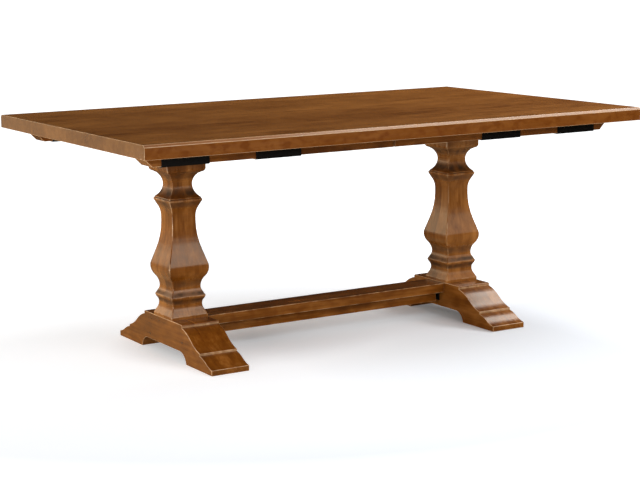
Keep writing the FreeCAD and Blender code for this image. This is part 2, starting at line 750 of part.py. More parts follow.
for thing in doc.Objects:
    if "Invalid" in thing.State or "Error" in thing.State:
        raise RuntimeError(f"{thing.Label} failed to build: {thing.State}")
for part in sub_parts:
    if part.Shape.isNull() or not part.Shape.isValid():
        raise RuntimeError(f"{part.Label} has no valid shape")

os.makedirs("parts", exist_ok=True)
for part in sub_parts:
    part.Shape.exportStep(f"parts/{part.Label}.step")
print(f"{len(sub_parts)} sub-parts, table height {number('underside + top_thickness'):.1f} mm")
travel = "guide_inner_x - guide_length / 2 - slider_middle_gap / 2 - peg_inset - peg_diameter / 2"
print(f"bars travel {number(travel):.1f} mm until the pegs meet the inner guides")
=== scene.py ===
# %% [markdown]
# # A harvest table in stained maple
#
# The table has a thick glued top, two moulded columns on sledge feet, a low stretcher between the feet and four
# pull-out bars that carry extra leaves at the ends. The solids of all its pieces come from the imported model, in
# metres, with the floor at height zero. They could be shown as they are, but a real table has eased edges, bent
# straps and a stain that follows the grain, so most pieces are made again here, in the place of their solids.

# %% Load the solids
import math

import bmesh
import bpy
from mathutils import Matrix, Vector


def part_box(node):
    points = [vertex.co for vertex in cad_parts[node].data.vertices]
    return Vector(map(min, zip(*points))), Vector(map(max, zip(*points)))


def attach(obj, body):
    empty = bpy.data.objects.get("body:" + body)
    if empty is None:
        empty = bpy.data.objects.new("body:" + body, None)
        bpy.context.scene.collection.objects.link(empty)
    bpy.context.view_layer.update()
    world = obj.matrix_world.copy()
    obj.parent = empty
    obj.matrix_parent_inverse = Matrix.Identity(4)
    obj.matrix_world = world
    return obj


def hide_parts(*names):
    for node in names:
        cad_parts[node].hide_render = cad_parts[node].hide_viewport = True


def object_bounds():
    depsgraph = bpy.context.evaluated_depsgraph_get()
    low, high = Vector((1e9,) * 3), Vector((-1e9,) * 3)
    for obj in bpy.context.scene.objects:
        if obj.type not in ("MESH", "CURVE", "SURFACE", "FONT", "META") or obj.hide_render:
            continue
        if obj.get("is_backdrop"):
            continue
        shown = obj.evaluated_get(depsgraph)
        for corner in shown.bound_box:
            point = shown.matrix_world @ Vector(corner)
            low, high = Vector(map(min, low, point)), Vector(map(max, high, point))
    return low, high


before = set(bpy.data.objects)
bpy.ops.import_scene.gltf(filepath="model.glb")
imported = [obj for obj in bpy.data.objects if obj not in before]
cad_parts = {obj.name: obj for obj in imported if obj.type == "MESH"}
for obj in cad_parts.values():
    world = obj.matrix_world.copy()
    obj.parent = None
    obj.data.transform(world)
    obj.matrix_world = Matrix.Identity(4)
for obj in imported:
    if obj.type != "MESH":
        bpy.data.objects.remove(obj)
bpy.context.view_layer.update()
MM = 0.001
SIDES = {"left": -1, "right": 1}
ROWS = "front", "back"


def box_mm(node):
    """Lowest and highest corner of a solid, in millimetres."""
    low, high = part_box(node)
    return [value / MM for value in low], [value / MM for value in high]


# %% [markdown]
# ## Two small tools for node trees
#
# Every finish and every rule for a shape is a node tree. A tree could be built with a line for each node, socket and
# link, which hides what it does. One function that adds a node, sets it and fills its sockets keeps a tree readable
# from top to bottom. Colours are written as the hex codes that a paint program shows. Shaders calculate with light,
# so one function turns a code into linear values.

# %% Add a node, read a colour
def add(tree, kind, inputs=None, **settings):
    """Add a node with its settings. Inputs maps a socket to a value, or to the socket that feeds it."""
    node = tree.nodes.new(kind)
    for name, value in settings.items():
        setattr(node, name, value)
    for socket, value in (inputs or {}).items():
        if isinstance(value, bpy.types.NodeSocket):
            tree.links.new(value, node.inputs[socket])
        else:
            node.inputs[socket].default_value = value
    return node


def linear(code):
    """An sRGB hex code as the linear colour, with alpha, that a socket takes."""
    shares = [int(code[at:at + 2], 16) / 255 for at in (1, 3, 5)]
    return [s / 12.92 if s <= 0.04045 else ((s + 0.055) / 1.055) ** 2.4 for s in shares] + [1.0]


print("mid grey #808080 in linear light:", [round(value, 3) for value in linear("#808080")[:3]])

# %% [markdown]
# ## Maple under a warm brown stain
#
# Maple is a pale, dense wood. A wiping stain turns it brown, sinks deeper into soft streaks and leaves a cloudy,
# blotchy tone; satin lacquer over it gives a soft sheen. Thick pieces are glued from several, so the tone jumps at
# each glue line. End grain drinks more stain. Sharp edges get a paler tone, partly rubbed wear and partly a painted
# highlight, and grooves and bands get a darker one, partly stain and partly painted shade. A picture of wood would
# stretch around the mouldings, so the pattern is a solid one: noise in the object's own space, stretched along the
# grain, which runs on over every edge.
#
# The meshes carry four marks as attributes, "arris", "groove", "soak" for end grain and "rim" for the long edges of
# the top, and the material mixes a tone in for each. The pale tone of "arris" is partly a painted highlight, the dark
# tone of "groove" is partly painted shade, and the tone of "rim" is painted shade.

# %% Tones and figure
# Three tones of the stain; a pale tone for the arrises, partly wear and partly a painted highlight; a dark tone
# for grooves and bands, partly stain and partly painted shade, also used for the end grain's stain; and a redder tone
# painted as shade on the long edges of the top.
WOOD_TONES = {"dark": "#552B08", "mid": "#74400F", "light": "#A76A2E", "wear_and_highlight": "#D6AE82", "groove": "#1E0D03",
         "rim": "#683305"}
# Where on the ramp each tone of the stain sits.
STOPS = (0.2, "dark"), (0.5, "mid"), (1.0, "light")
# Length along and width across the grain in mm, detail and weight of each layer. Real pores are a tenth of a
# millimetre wide, too fine to show, so they are drawn coarser.
LAYERS = {"figure": (420, 34, 2.0, 0.60), "streak": (210, 8, 2.0, 0.40), "pore": (60, 4, 1.0, 0.16),
          "blotch": (150, 95, 2.0, 0.70), "mottle": (42, 26, 2.0, 0.40)}
# Each mark's tone and how much of it is mixed in, from the least to the most, in patches. The rim mark is painted
# shade, the groove mark partly stain and partly painted shade, the soak mark the end grain's stain.
MARKS = {"rim": ("rim", 0.6, 0.95), "soak": ("groove", 0.62, 0.72), "groove": ("groove", 0.4, 0.85)}
# Values of noise between which the gloss and the patches change.
GLOSS_SPAN, PATCH_SPAN = (0.3, 0.7), (0.42, 0.62)
# Satin lacquer has a roughness near 0.2. Stain that dried in a groove is duller by up to this much.
SATIN, DRIED = (0.19, 0.27), 0.5
# Each glued piece is cut from another place in the log, up to so many metres away.
LOG_LENGTH = 4.0
# Faint ripples that planing leaves: length, width and depth in mm.
RIPPLE_LENGTH, RIPPLE_WIDTH, RIPPLE_DEPTH = 160, 9, 0.3
print("layers of the figure:", ", ".join(LAYERS))

# %% [markdown]
# The tree counts the glued pieces, moves each to its own place in the log, adds the layers up to one number for the
# tone and looks its colour up in a ramp. Then it mixes in the marks. The lacquer's gloss follows the streaks.

# %% Stained maple
def scale_along(grain, along_mm, across_mm):
    """Scale that draws one noise cell so long along the grain and so wide across it."""
    scale = [1 / (across_mm * MM)] * 3
    scale[grain] = 1 / (along_mm * MM)
    return scale


def stained_maple(name, grain, glued_mm, first_mm, lively=1.0, lift=0.0, jump=0.42, wear_and_highlight=(0.1, 0.6), relief=0.08):
    """Stained maple with its grain along one axis. Glued_mm is the width of the glued pieces along each axis,
    and first_mm is where the first one starts. Lively scales the contrast of the figure, lift lightens it as painted
    light, jump is how far the tone may differ from one glued piece to the next, wear_and_highlight is the least and
    most of the pale tone on arrises, partly wear and partly a painted highlight, and relief is the strength of the
    ripples."""
    material = bpy.data.materials.new(name)
    material.use_nodes = True
    tree = material.node_tree
    surface = tree.nodes["Principled BSDF"]
    space = add(tree, "ShaderNodeTexCoord").outputs["Object"]
    start = add(tree, "ShaderNodeVectorMath", {0: space, 1: [mm * MM for mm in first_mm]}, operation="SUBTRACT")
    count = add(tree, "ShaderNodeVectorMath", {0: start.outputs[0], 1: [mm * MM for mm in glued_mm]},
                operation="DIVIDE")
    number = add(tree, "ShaderNodeVectorMath", {0: count.outputs[0]}, operation="FLOOR")
    plank = add(tree, "ShaderNodeTexWhiteNoise", {"Vector": number.outputs[0]}, noise_dimensions="3D")
    shift = add(tree, "ShaderNodeVectorMath", {0: plank.outputs["Color"], "Scale": LOG_LENGTH}, operation="SCALE")
    log = add(tree, "ShaderNodeVectorMath", {0: space, 1: shift.outputs[0]}, operation="ADD").outputs[0]
    # Noise and jump are about a half on average, so this start brings the tone's average to a half, plus the lift.
    tone = 0.5 + lift - lively * (sum(weight for *_, weight in LAYERS.values()) + jump) / 2
    noise = {}
    for layer, (along, across, detail, weight) in LAYERS.items():
        stretched = add(tree, "ShaderNodeMapping", {"Vector": log, "Scale": scale_along(grain, along, across)})
        noise[layer] = add(tree, "ShaderNodeTexNoise", {"Vector": stretched.outputs[0], "Scale": 1.0,
                                                        "Detail": detail, "Distortion": 0.25}).outputs["Fac"]
        tone = add(tree, "ShaderNodeMath", {0: noise[layer], 1: lively * weight, 2: tone},
                   operation="MULTIPLY_ADD").outputs[0]
    tone = add(tree, "ShaderNodeMath", {0: plank.outputs["Value"], 1: lively * jump, 2: tone},
               operation="MULTIPLY_ADD").outputs[0]
    stain = add(tree, "ShaderNodeValToRGB", {"Fac": tone})
    stain.color_ramp.elements.new(0.5)
    for stop, (at, shade) in zip(stain.color_ramp.elements, STOPS):
        stop.position = at
        stop.color = linear(WOOD_TONES[shade])
    colour = stain.outputs["Color"]
    amounts = {}
    for mark, (shade, least, most) in {**MARKS, "arris": ("wear_and_highlight", *wear_and_highlight)}.items():
        spot = add(tree, "ShaderNodeAttribute", attribute_name=mark).outputs["Fac"]
        patch = add(tree, "ShaderNodeMapRange", {"Value": noise["mottle"], "From Min": PATCH_SPAN[0],
                                                 "From Max": PATCH_SPAN[1], "To Min": least,
                                                 "To Max": most}).outputs[0]
        amounts[mark] = add(tree, "ShaderNodeMath", {0: spot, 1: patch}, operation="MULTIPLY").outputs[0]
        colour = add(tree, "ShaderNodeMix", {"Factor": amounts[mark], 6: colour, 7: linear(WOOD_TONES[shade])},
                     data_type="RGBA").outputs[2]
    gloss = add(tree, "ShaderNodeMapRange", {"Value": noise["streak"], "From Min": GLOSS_SPAN[0],
                                             "From Max": GLOSS_SPAN[1], "To Min": SATIN[0], "To Max": SATIN[1]})
    gloss = add(tree, "ShaderNodeMath", {0: amounts["groove"], 1: DRIED, 2: gloss.outputs[0]},
                operation="MULTIPLY_ADD")
    # The relief uses plain space, because a jump at a glue line would look like a ridge.
    ripple = add(tree, "ShaderNodeMapping", {"Vector": space,
                                             "Scale": scale_along(grain, RIPPLE_LENGTH, RIPPLE_WIDTH)})
    height = add(tree, "ShaderNodeTexNoise", {"Vector": ripple.outputs[0], "Scale": 1.0, "Detail": 2.0})
    bump = add(tree, "ShaderNodeBump", {"Height": height.outputs["Fac"], "Strength": relief,
                                        "Distance": RIPPLE_DEPTH * MM})
    tree.links.new(colour, surface.inputs["Base Color"])
    tree.links.new(gloss.outputs[0], surface.inputs["Roughness"])
    tree.links.new(bump.outputs[0], surface.inputs["Normal"])
    surface.inputs["Specular Tint"].default_value = linear("#FFF8E4")
    return material


print("stained_maple is ready")

# %% [markdown]
# The same wood was worked in four ways. Each way gets its own material, because each tool leaves other edges and the
# stain soaks in differently. The top and the columns are also lightened, which is painted light for the shade that
# the lamps leave on them. The sizes of the solids say where the glue lines fall.

# %% Maple for top, rails, columns and feet
# Wider than the table, for axes that no glue line crosses.
WHOLE = 9000
BOARD = box_mm("top_board_2")[0][1] - box_mm("top_board_1")[0][1]
# A whole number of glued pieces between the trestles puts the glue lines in the same places in both.
POSTS_BETWEEN, PLANKS_BETWEEN = 15, 25
TRESTLE_X = (box_mm("column_right")[0][0] + box_mm("column_right")[1][0]) / 2
POST_PIECE = 2 * TRESTLE_X / POSTS_BETWEEN
PLANK_PIECE = 2 * TRESTLE_X / PLANKS_BETWEEN
# A column has a glue line along its middle, and pieces this deep on both sides of it.
POST_DEPTH = 72
# The rails at the front, in the middle and at the back lie in strips this wide, each with a tone of its own.
RAIL_STRIP = 400
# The boards are counted from a whole number of widths away, which picks their tones.
FIRST_BOARD = -24 * BOARD
# Planed flat and sanded: a calm satin sheet, with the figure in long soft streaks. It is lightened as painted light,
# and the even pale tone of its arrises is partly a painted highlight.
wood_top = stained_maple("planed_stained_maple_top", 0, (WHOLE, BOARD, WHOLE), (-WHOLE / 2, FIRST_BOARD, -WHOLE / 2),
                         lively=0.75, lift=0.2, jump=0.3, wear_and_highlight=(0.5, 0.8), relief=0.02)
# Planed rails and bars of one piece each: the stain's full contrast.
wood_rail = stained_maple("planed_stained_maple_rail", 0, (WHOLE, RAIL_STRIP, WHOLE),
                          (-WHOLE / 2, -RAIL_STRIP / 2, -WHOLE / 2))
# Shaped with moulding cutters and sanded, with the grain up the post: lightened, which is painted light for the
# shade under the top, and with pale corners, partly rubbed and partly a painted highlight.
wood_column = stained_maple("moulded_stained_maple_column", 2, (POST_PIECE, POST_DEPTH, WHOLE),
                            (-TRESTLE_X, 0, -WHOLE / 2), lift=0.15, wear_and_highlight=(0.0, 0.38))
# Sawn to its outline from a glued plank: a stripe for each piece, and pale arrises, partly rubbed and partly a
# painted highlight.
wood_foot = stained_maple("sawn_stained_maple_foot", 1, (PLANK_PIECE, WHOLE, WHOLE),
                          (-TRESTLE_X - PLANK_PIECE / 2, -WHOLE / 2, -WHOLE / 2), wear_and_highlight=(0.3, 0.65))
print("finishes:", [m.name for m in (wood_top, wood_rail, wood_column, wood_foot)])

# %% [markdown]
# ## Black and zinc-plated steel
#
# The guides are bent from steel strap with a black powder coat, which has a fine orange-peel relief. Their screws and
# the brackets at the ends of the stretcher are black too. Rods, nuts, washers and the other screws are zinc plated: a
# cool metal with faint cloudy crystals. Both could be one flat colour, and then they look like plastic, so noise varies
# their tone and roughness.

# %% Black coat and zinc
# How strong the relief of the orange peel and of the crystals is.
PEEL_STRENGTH = 0.3


def coated_metal(name, tones, metallic, rough, grain_mm, relief_mm, shine=0.5):
    """Metal whose tone and roughness follow cloudy noise of one grain size."""
    material = bpy.data.materials.new(name)
    material.use_nodes = True
    tree = material.node_tree
    surface = tree.nodes["Principled BSDF"]
    space = add(tree, "ShaderNodeTexCoord").outputs["Object"]
    cloud = add(tree, "ShaderNodeTexNoise", {"Vector": space, "Scale": 1 / (grain_mm * MM), "Detail": 3.0})
    tint = add(tree, "ShaderNodeMix", {"Factor": cloud.outputs["Fac"], 6: linear(tones[0]), 7: linear(tones[1])},
               data_type="RGBA")
    satin = add(tree, "ShaderNodeMapRange", {"Value": cloud.outputs["Fac"], "From Min": GLOSS_SPAN[0],
                                             "From Max": GLOSS_SPAN[1], "To Min": rough[0], "To Max": rough[1]})
    relief = add(tree, "ShaderNodeBump", {"Height": cloud.outputs["Fac"], "Strength": PEEL_STRENGTH,
                                          "Distance": relief_mm * MM})
    tree.links.new(tint.outputs[2], surface.inputs["Base Color"])
    tree.links.new(satin.outputs[0], surface.inputs["Roughness"])
    tree.links.new(relief.outputs[0], surface.inputs["Normal"])
    surface.inputs["Metallic"].default_value = metallic
    surface.inputs["Specular IOR Level"].default_value = shine
    return material


# Baked powder: a deep black that mirrors nothing clearly, with a soft grey bloom where light grazes it.
black_coat = coated_metal("powder_coated_steel_black", ("#050404", "#0B0A09"), 0.0, (0.44, 0.56), 1.6, 0.06, shine=0.2)
# Electroplated zinc: light and cool, with reflections that its crystals blur unevenly.
zinc = coated_metal("zinc_plated_steel", ("#9A9DA1", "#C4C6C8"), 1.0, (0.28, 0.42), 9.0, 0.03)
print("finishes:", black_coat.name, zinc.name)

# %% [markdown]
# ## Outlines with arcs
#
# The column, the foot and the bars are all described by an outline: corners in millimetres, and for each edge whether
# it is straight or an arc. An arc is upright at one end ("level" with its centre), flat at one end ("plumb" under its
# centre), or has a radius and a side. Curve objects could draw these, but Bezier handles only come near a circle, and
# the solids have true arcs, so the points are calculated.

# %% Trace an outline
def arc_centre(start, end, edge):
    """Centre of the arc from start to end: level or plumb with one end, or of a given radius."""
    kind, which = edge
    (u0, v0), (u1, v1) = (start, end) if which != "end" else (end, start)
    if kind == "level":
        return (u1 ** 2 - u0 ** 2 + (v1 - v0) ** 2) / (2 * (u1 - u0)), v0
    if kind == "plumb":
        return u0, (v1 ** 2 - v0 ** 2 + (u1 - u0) ** 2) / (2 * (v1 - v0))
    chord = math.hypot(u1 - u0, v1 - v0)
    reach = math.sqrt(kind ** 2 - chord ** 2 / 4) / chord * (1 if which == "left" else -1)
    return (u0 + u1) / 2 - reach * (v1 - v0), (v0 + v1) / 2 + reach * (u1 - u0)


def traced(corners, turn=5):
    """Points along an open outline, with a point for each few degrees of an arc."""
    points = []
    for (u, v, edge), (u_next, v_next, _) in zip(corners, corners[1:]):
        points.append((u, v))
        if edge:
            cu, cv = arc_centre((u, v), (u_next, v_next), edge)
            first = math.atan2(v - cv, u - cu)
            sweep = math.remainder(math.atan2(v_next - cv, u_next - cu) - first, math.tau)
            steps = math.ceil(abs(math.degrees(sweep)) / turn)
            radius = math.hypot(u - cu, v - cv)
            for step in range(1, steps):
                angle = first + sweep * step / steps
                points.append((cu + radius * math.cos(angle), cv + radius * math.sin(angle)))
    return points + [corners[-1][:2]]


# Half width and height of each station, from the foot up to the bolster.
COLUMN = [
    (66, 124, None), (66, 133, None), (58.7, 147, ("level", "end")), (52.6, 168, ("level", "start")),
    (59, 186, None), (62, 194, None), (53.4, 210, ("level", "end")), (49.9, 224, ("level", "start")),
    (60.75, 256, ("level", "end")), (71.6, 288, ("level", "start")), (69.8, 300, None), (56.7, 342, ("level", "end")),
    (42, 436, None), (42, 452, ("level", "start")), (50.5, 487, None), (59.5, 505, None), (59.5, 508.5, None),
    (56.5, 511, None), (56.5, 514, ("level", "end")), (35.4, 556, ("level", "start")), (52.5, 592.8, None),
    (56, 593.2, None), (56, 595.5, ("level", "end")), (69, 608.5, None), (69, 675, None),
]
profile = traced(COLUMN)
print("column outline:", len(profile), "points from", len(COLUMN), "stations")

# %% [markdown]
# ## Pieces as plain meshes
#
# Whatever makes a piece, it ends as a plain mesh at the origin that rides on a body of the imported model and stands
# for its solid. Modifiers could stay live, but their result is simpler to move with a body. Weighted normals keep big
# faces flat in the light while the small eased edges beside them stay round.

# %% Settle a piece
def settled(piece):
    """Replace a piece's modifiers by their result."""
    shading = piece.modifiers.new("even_light", "WEIGHTED_NORMAL")
    shading.keep_sharp = True
    result = bpy.data.meshes.new_from_object(piece.evaluated_get(bpy.context.evaluated_depsgraph_get()))
    piece.modifiers.clear()
    piece.data = result
    result.name = piece.name
    return piece


def new_piece(name, mesh, material=None):
    """An object at the origin with a mesh and its finish."""
    piece = bpy.data.objects.new(name, mesh)
    bpy.context.scene.collection.objects.link(piece)
    if material:
        mesh.materials.append(material)
    return piece


def stands_for(piece, body, slot, *nodes):
    """The piece moves with a body and takes the place of solids. The slot is not used."""
    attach(piece, body)
    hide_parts(*nodes)
    return len(piece.data.polygons)


print("settled, new_piece and stands_for are ready")

# %% [markdown]
# Some shapes follow a rule. Geometry Nodes hold a rule as a tree with named inputs, which grows a piece from a seed:
# a line to follow, or points to set things on. Each tree ends in the same way. Instances become real, faces are smooth
# except at sharp edges, and the material is set.

# %% Grow a piece from a rule
def grown(name, seed, tree, values):
    """Run a node tree on a seed mesh, with its named inputs set, and keep the plain mesh."""
    piece = new_piece(name, seed)
    modifier = piece.modifiers.new(tree.name, "NODES")
    modifier.node_group = tree
    for item in tree.interface.items_tree:
        if item.in_out == "INPUT" and item.name in values:
            modifier[item.identifier] = values[item.name]
    return settled(piece)


def new_tree(name, inputs):
    """An empty geometry tree with named inputs. Returns the tree and the sockets of its group input."""
    tree = bpy.data.node_groups.new(name, "GeometryNodeTree")
    tree.interface.new_socket("Geometry", in_out="OUTPUT", socket_type="NodeSocketGeometry")
    for label, kind in [("Geometry", "Geometry"), *inputs, ("Finish", "Material")]:
        tree.interface.new_socket(label, in_out="INPUT", socket_type="NodeSocket" + kind)
    return tree, tree.nodes.new("NodeGroupInput").outputs


def close_tree(tree, geometry, finish, smooth_below=35):
    """End a tree: realize instances, shade smooth except at sharp edges, and set the material."""
    real = add(tree, "GeometryNodeRealizeInstances", {0: geometry})
    smooth = add(tree, "GeometryNodeSetShadeSmooth", {0: real.outputs[0]}, domain="FACE")
    bend = add(tree, "GeometryNodeInputMeshEdgeAngle")
    sharp = add(tree, "FunctionNodeCompare", {0: bend.outputs[0], 1: math.radians(smooth_below)},
                operation="GREATER_THAN")
    edges = add(tree, "GeometryNodeSetShadeSmooth", {0: smooth.outputs[0], 1: sharp.outputs[0], 2: False},
                domain="EDGE")
    painted = add(tree, "GeometryNodeSetMaterial", {0: edges.outputs[0], "Material": finish})
    add(tree, "NodeGroupOutput", {0: painted.outputs[0]})


print("grown, new_tree and close_tree are ready")

# %% [markdown]
# ## The columns
#
# Each column is a square post whose four sides were shaped to the same moulding: base, ring, belly, waist, collar,
# neck and cap, mitred at the corners. It could be cut with booleans, or lathed with four sides. Geometry Nodes say
# the rule most plainly: a square with eased corners climbs a straight spine, and at each station its size is the
# half width of the outline. Marks on the spine and on the square tell the stain where an edge is pale, partly worn
# and partly a painted highlight, and where a groove or band is dark, partly stain and partly painted shade.

# %% Column rule
# Steps around an eased corner, and the part of it that gets the pale tone, partly wear and partly a painted
# highlight.
CORNER_STEPS, CORNER_PALE = 4, 0.95
tree, given = new_tree("moulded_column", [("Corner ease", "Float")])
spine = add(tree, "GeometryNodeMeshToCurve", {0: given["Geometry"]})
half_width = add(tree, "GeometryNodeInputNamedAttribute", {"Name": "half"}, data_type="FLOAT")
square = add(tree, "GeometryNodeCurvePrimitiveQuadrilateral", {"Width": 2.0, "Height": 2.0})
eased = add(tree, "GeometryNodeFilletCurve", {0: square.outputs[0], "Count": CORNER_STEPS,
                                              "Radius": given["Corner ease"]}, mode="POLY")
spot = add(tree, "GeometryNodeInputPosition")
away = add(tree, "ShaderNodeVectorMath", {0: spot.outputs[0]}, operation="ABSOLUTE")
sides = add(tree, "ShaderNodeSeparateXYZ", {0: away.outputs[0]})
nearer = add(tree, "ShaderNodeMath", {0: sides.outputs[0], 1: sides.outputs[1]}, operation="MINIMUM")
limit = add(tree, "ShaderNodeMath", {0: given["Corner ease"], 1: -CORNER_PALE, 2: 1.0}, operation="MULTIPLY_ADD")
corner = add(tree, "ShaderNodeMath", {0: nearer.outputs[0], 1: limit.outputs[0]}, operation="GREATER_THAN")
marked = add(tree, "GeometryNodeStoreNamedAttribute", {0: eased.outputs[0], "Name": "corner",
                                                       "Value": corner.outputs[0]},
             data_type="FLOAT", domain="POINT")
post = add(tree, "GeometryNodeCurveToMesh", {0: spine.outputs[0], 1: marked.outputs[0],
                                             "Scale": half_width.outputs[0], "Fill Caps": True})
# The pale mark on the eased corners and crisp edges: partly wear, partly a painted highlight.
corner_mark = add(tree, "GeometryNodeInputNamedAttribute", {"Name": "corner"}, data_type="FLOAT")
crisp_mark = add(tree, "GeometryNodeInputNamedAttribute", {"Name": "crisp"}, data_type="FLOAT")
pale_mark = add(tree, "ShaderNodeMath", {0: corner_mark.outputs[0], 1: crisp_mark.outputs[0]}, operation="MAXIMUM")
post_with_pale_mark = add(tree, "GeometryNodeStoreNamedAttribute", {0: post.outputs[0], "Name": "arris",
                                                          "Value": pale_mark.outputs[0]},
                data_type="FLOAT", domain="POINT")
close_tree(tree, post_with_pale_mark.outputs[0], given["Finish"])
column_rule = tree
print("column rule:", len(tree.nodes), "nodes")

# %% [markdown]
# The spine needs the outline's sharp corners marked and eased. A corner that sticks out gets the pale tone, partly
# wear and partly a painted highlight; one that turns in gets the dark tone, partly stain and partly painted shade.
# Each is replaced by two points a millimetre away, so that it catches a line of light. Painted shade also lies in
# bands under each ledge, on the ring and on the cap under the top, at the heights listed here. Long runs get points
# between, because a mark fades evenly from one point to the next.

# %% Mark the spine
# Middle height, half height and depth of tone of each band.
SHADE_BANDS = [(180, 12, 0.9), (203, 9, 1.0), (238, 16, 0.6), (495, 14, 0.7), (528, 20, 1.0), (588, 18, 0.8),
               (640, 42, 0.45)]
# Length of the steps along a straight run, and how far they stay from its ends.
RUN, CLEAR = 6.0, 3.0
# The longest part of an edge that a mark at its corner takes, and the longest with its fading.
LINE_PART, FADE_PART = 0.3, 0.45
# How far the marks of outer and inner corners fade, and how pale an outer one is.
OUTER_FADE, INNER_FADE, OUTER_PALE = 2.5, 8.0, 0.6


def band_tone(height):
    """How much painted shade lies at a height."""
    return max(depth * max(0.0, 1 - ((height - middle) / reach) ** 2) for middle, reach, depth in SHADE_BANDS)


def marked_stations(points, ease_mm=1.0, sharp_deg=18):
    """Stations as (half width, height, crisp, groove), with each sharp corner split in two."""
    stations = []
    for index, (u, v) in enumerate(points):
        here = Vector((u, v))
        arms = [Vector(points[near]) - here for near in (index - 1, index + 1) if 0 <= near < len(points)]
        if len(arms) == 2 and math.degrees((-arms[0]).angle(arms[1])) > sharp_deg:
            outward = -arms[0].x * arms[1].y + arms[0].y * arms[1].x > 0
            for arm, order in zip(arms, (-1, 1)):
                near = min(ease_mm, arm.length * LINE_PART)
                reach = (near, min(OUTER_FADE if outward else INNER_FADE, arm.length * FADE_PART))
                for step in reach[::order]:
                    spot = here + arm.normalized() * step
                    mark = float(step == near)
                    # An inner corner gets the dark tone, partly stain and partly painted shade; the bands are painted
                    # shade.
                    groove = max(mark * (not outward), band_tone(spot.y) * (1 - mark))
                    stations.append((spot.x, spot.y, OUTER_PALE * mark * outward, groove))
        else:
            stations.append((u, v, 0.0, band_tone(v)))
        if index + 1 < len(points):
            run = arms[-1]
            steps = int(run.length / RUN)
            for step in range(1, steps):
                spot = here + run * step / steps
                if run.length * step / steps > CLEAR and spot.y < points[index + 1][1] - CLEAR:
                    stations.append((spot.x, spot.y, 0.0, band_tone(spot.y)))
    return sorted(stations, key=lambda station: station[1])


stations = marked_stations(profile)
print("spine:", len(stations), "stations")

# %% [markdown]
# Each column then grows from its own spine, a line of points over the middle of its foot that carries the half width
# and the marks as attributes.

# %% Two columns
# Radius of the eased corners, as a share of the half width.
CORNER_EASE = 0.05
for side in SIDES:
    low, high = box_mm(f"column_{side}")
    middle = (low[0] + high[0]) / 2
    seed = bpy.data.meshes.new(f"column_spine_{side}")
    seed.from_pydata([(middle * MM, 0.0, height * MM) for _, height, _, _ in stations],
                     [(at, at + 1) for at in range(len(stations) - 1)], [])
    for mark, at, scale in (("half", 0, MM), ("crisp", 2, 1.0), ("groove", 3, 1.0)):
        seed.attributes.new(mark, "FLOAT", "POINT").data.foreach_set("value", [s[at] * scale for s in stations])
    piece = grown(f"moulded_column_{side}", seed, column_rule, {"Corner ease": CORNER_EASE, "Finish": wood_column})
    print(piece.name, stands_for(piece, "table", "trestle_wood", f"column_{side}"), "faces")

# %% [markdown]
# ## Sawn pieces with eased arrises
#
# Boards, feet, stretcher and bars all start as a flat outline pushed along one axis. A cube with a Bevel modifier
# would do for the boards, but not for the feet, and the stain has to know which faces are eased edges, which get a
# pale tone, partly wear and partly a painted highlight. So one function pushes an outline, bevels the edges that
# stick out and marks the new faces. Edges that turn inwards stay crisp.

# %% Push an outline, ease its arrises
# Radius of the eased arrises in mm.
EASE = {"top": 1.0, "foot": 1.6, "rail": 1.8, "bar": 1.5, "peg": 1.0}
# Edges that turn more than the first angle are eased. After that, those that turn more than the second look sharp.
EASED_FROM, SHARP_FROM = math.radians(20), math.radians(38)


def sawn_block(name, outline, axis, low, high, ease_mm, material, eased=None, segments=3):
    """A piece pushed along an axis from an outline in mm. Eased picks the edges to bevel, by default all outer ones."""
    work = bmesh.new()
    wear_and_highlight = work.faces.layers.float.new("arris")
    ends = []
    for level in (low, high):
        loop = []
        for pair in outline:
            spot = list(pair)
            spot.insert(axis, level)
            loop.append(work.verts.new([value * MM for value in spot]))
        ends.append(loop)
        work.faces.new(loop)
    for at in range(len(outline)):
        after = (at + 1) % len(outline)
        work.faces.new((ends[0][at], ends[0][after], ends[1][after], ends[1][at]))
    bmesh.ops.recalc_face_normals(work, faces=work.faces)
    outer = [edge for edge in work.edges if edge.is_convex and edge.calc_face_angle() > EASED_FROM
             and (eased is None or eased([vertex.co / MM for vertex in edge.verts]))]
    bevel = bmesh.ops.bevel(work, geom=outer, offset=ease_mm * MM, offset_type="OFFSET", segments=segments,
                            profile=0.5, affect="EDGES", clamp_overlap=False)
    for face in bevel["faces"]:
        face[wear_and_highlight] = 1.0
    for face in work.faces:
        face.smooth = True
    mesh = bpy.data.meshes.new(name)
    work.to_mesh(mesh)
    work.free()
    mesh.set_sharp_from_angle(angle=SHARP_FROM)
    return new_piece(name, mesh, material)


print("sawn_block is ready")

# %% [markdown]
# ## The top
#
# The top is glued up from boards with the grain along the table. The glue lines are flush, so only the tone tells the
# boards apart. The long edges have a chamfer of 7 mm, whose two arrises catch the light and get a pale tone that is
# partly a painted highlight. The ends are square, because a leaf butts against them, with just an eased arris in the
# same pale tone. The long edges also get a darker tone, which is painted shade.

# %% Boards of the top
CHAMFER = 7
# Places that lie nearer together than this, in mm, are the same.
NEAR = 1
# How strong the marks of the end grain and of the long edges are, and the axis that these faces look along. The
# mark of the long edges is painted shade; that of the end grain is its stain.
TONES = {"soak": (0.64, 0), "rim": (1.0, 1)}
boards = sorted(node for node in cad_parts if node.startswith("top_board_"))
top_low, top_high = box_mm(boards[0])[0], box_mm(boards[-1])[1]


def shown(ends, rim=top_high[1] - CHAMFER - NEAR, tip=top_high[0] - NEAR):
    """True for edges along the rim of the top and across its ends, not for those at the glue lines."""
    on_rim = all(abs(end.y) > rim for end in ends)
    across_tip = abs(ends[0].x + ends[1].x) > 2 * tip and abs(ends[0].z - ends[1].z) < NEAR
    return on_rim or across_tip


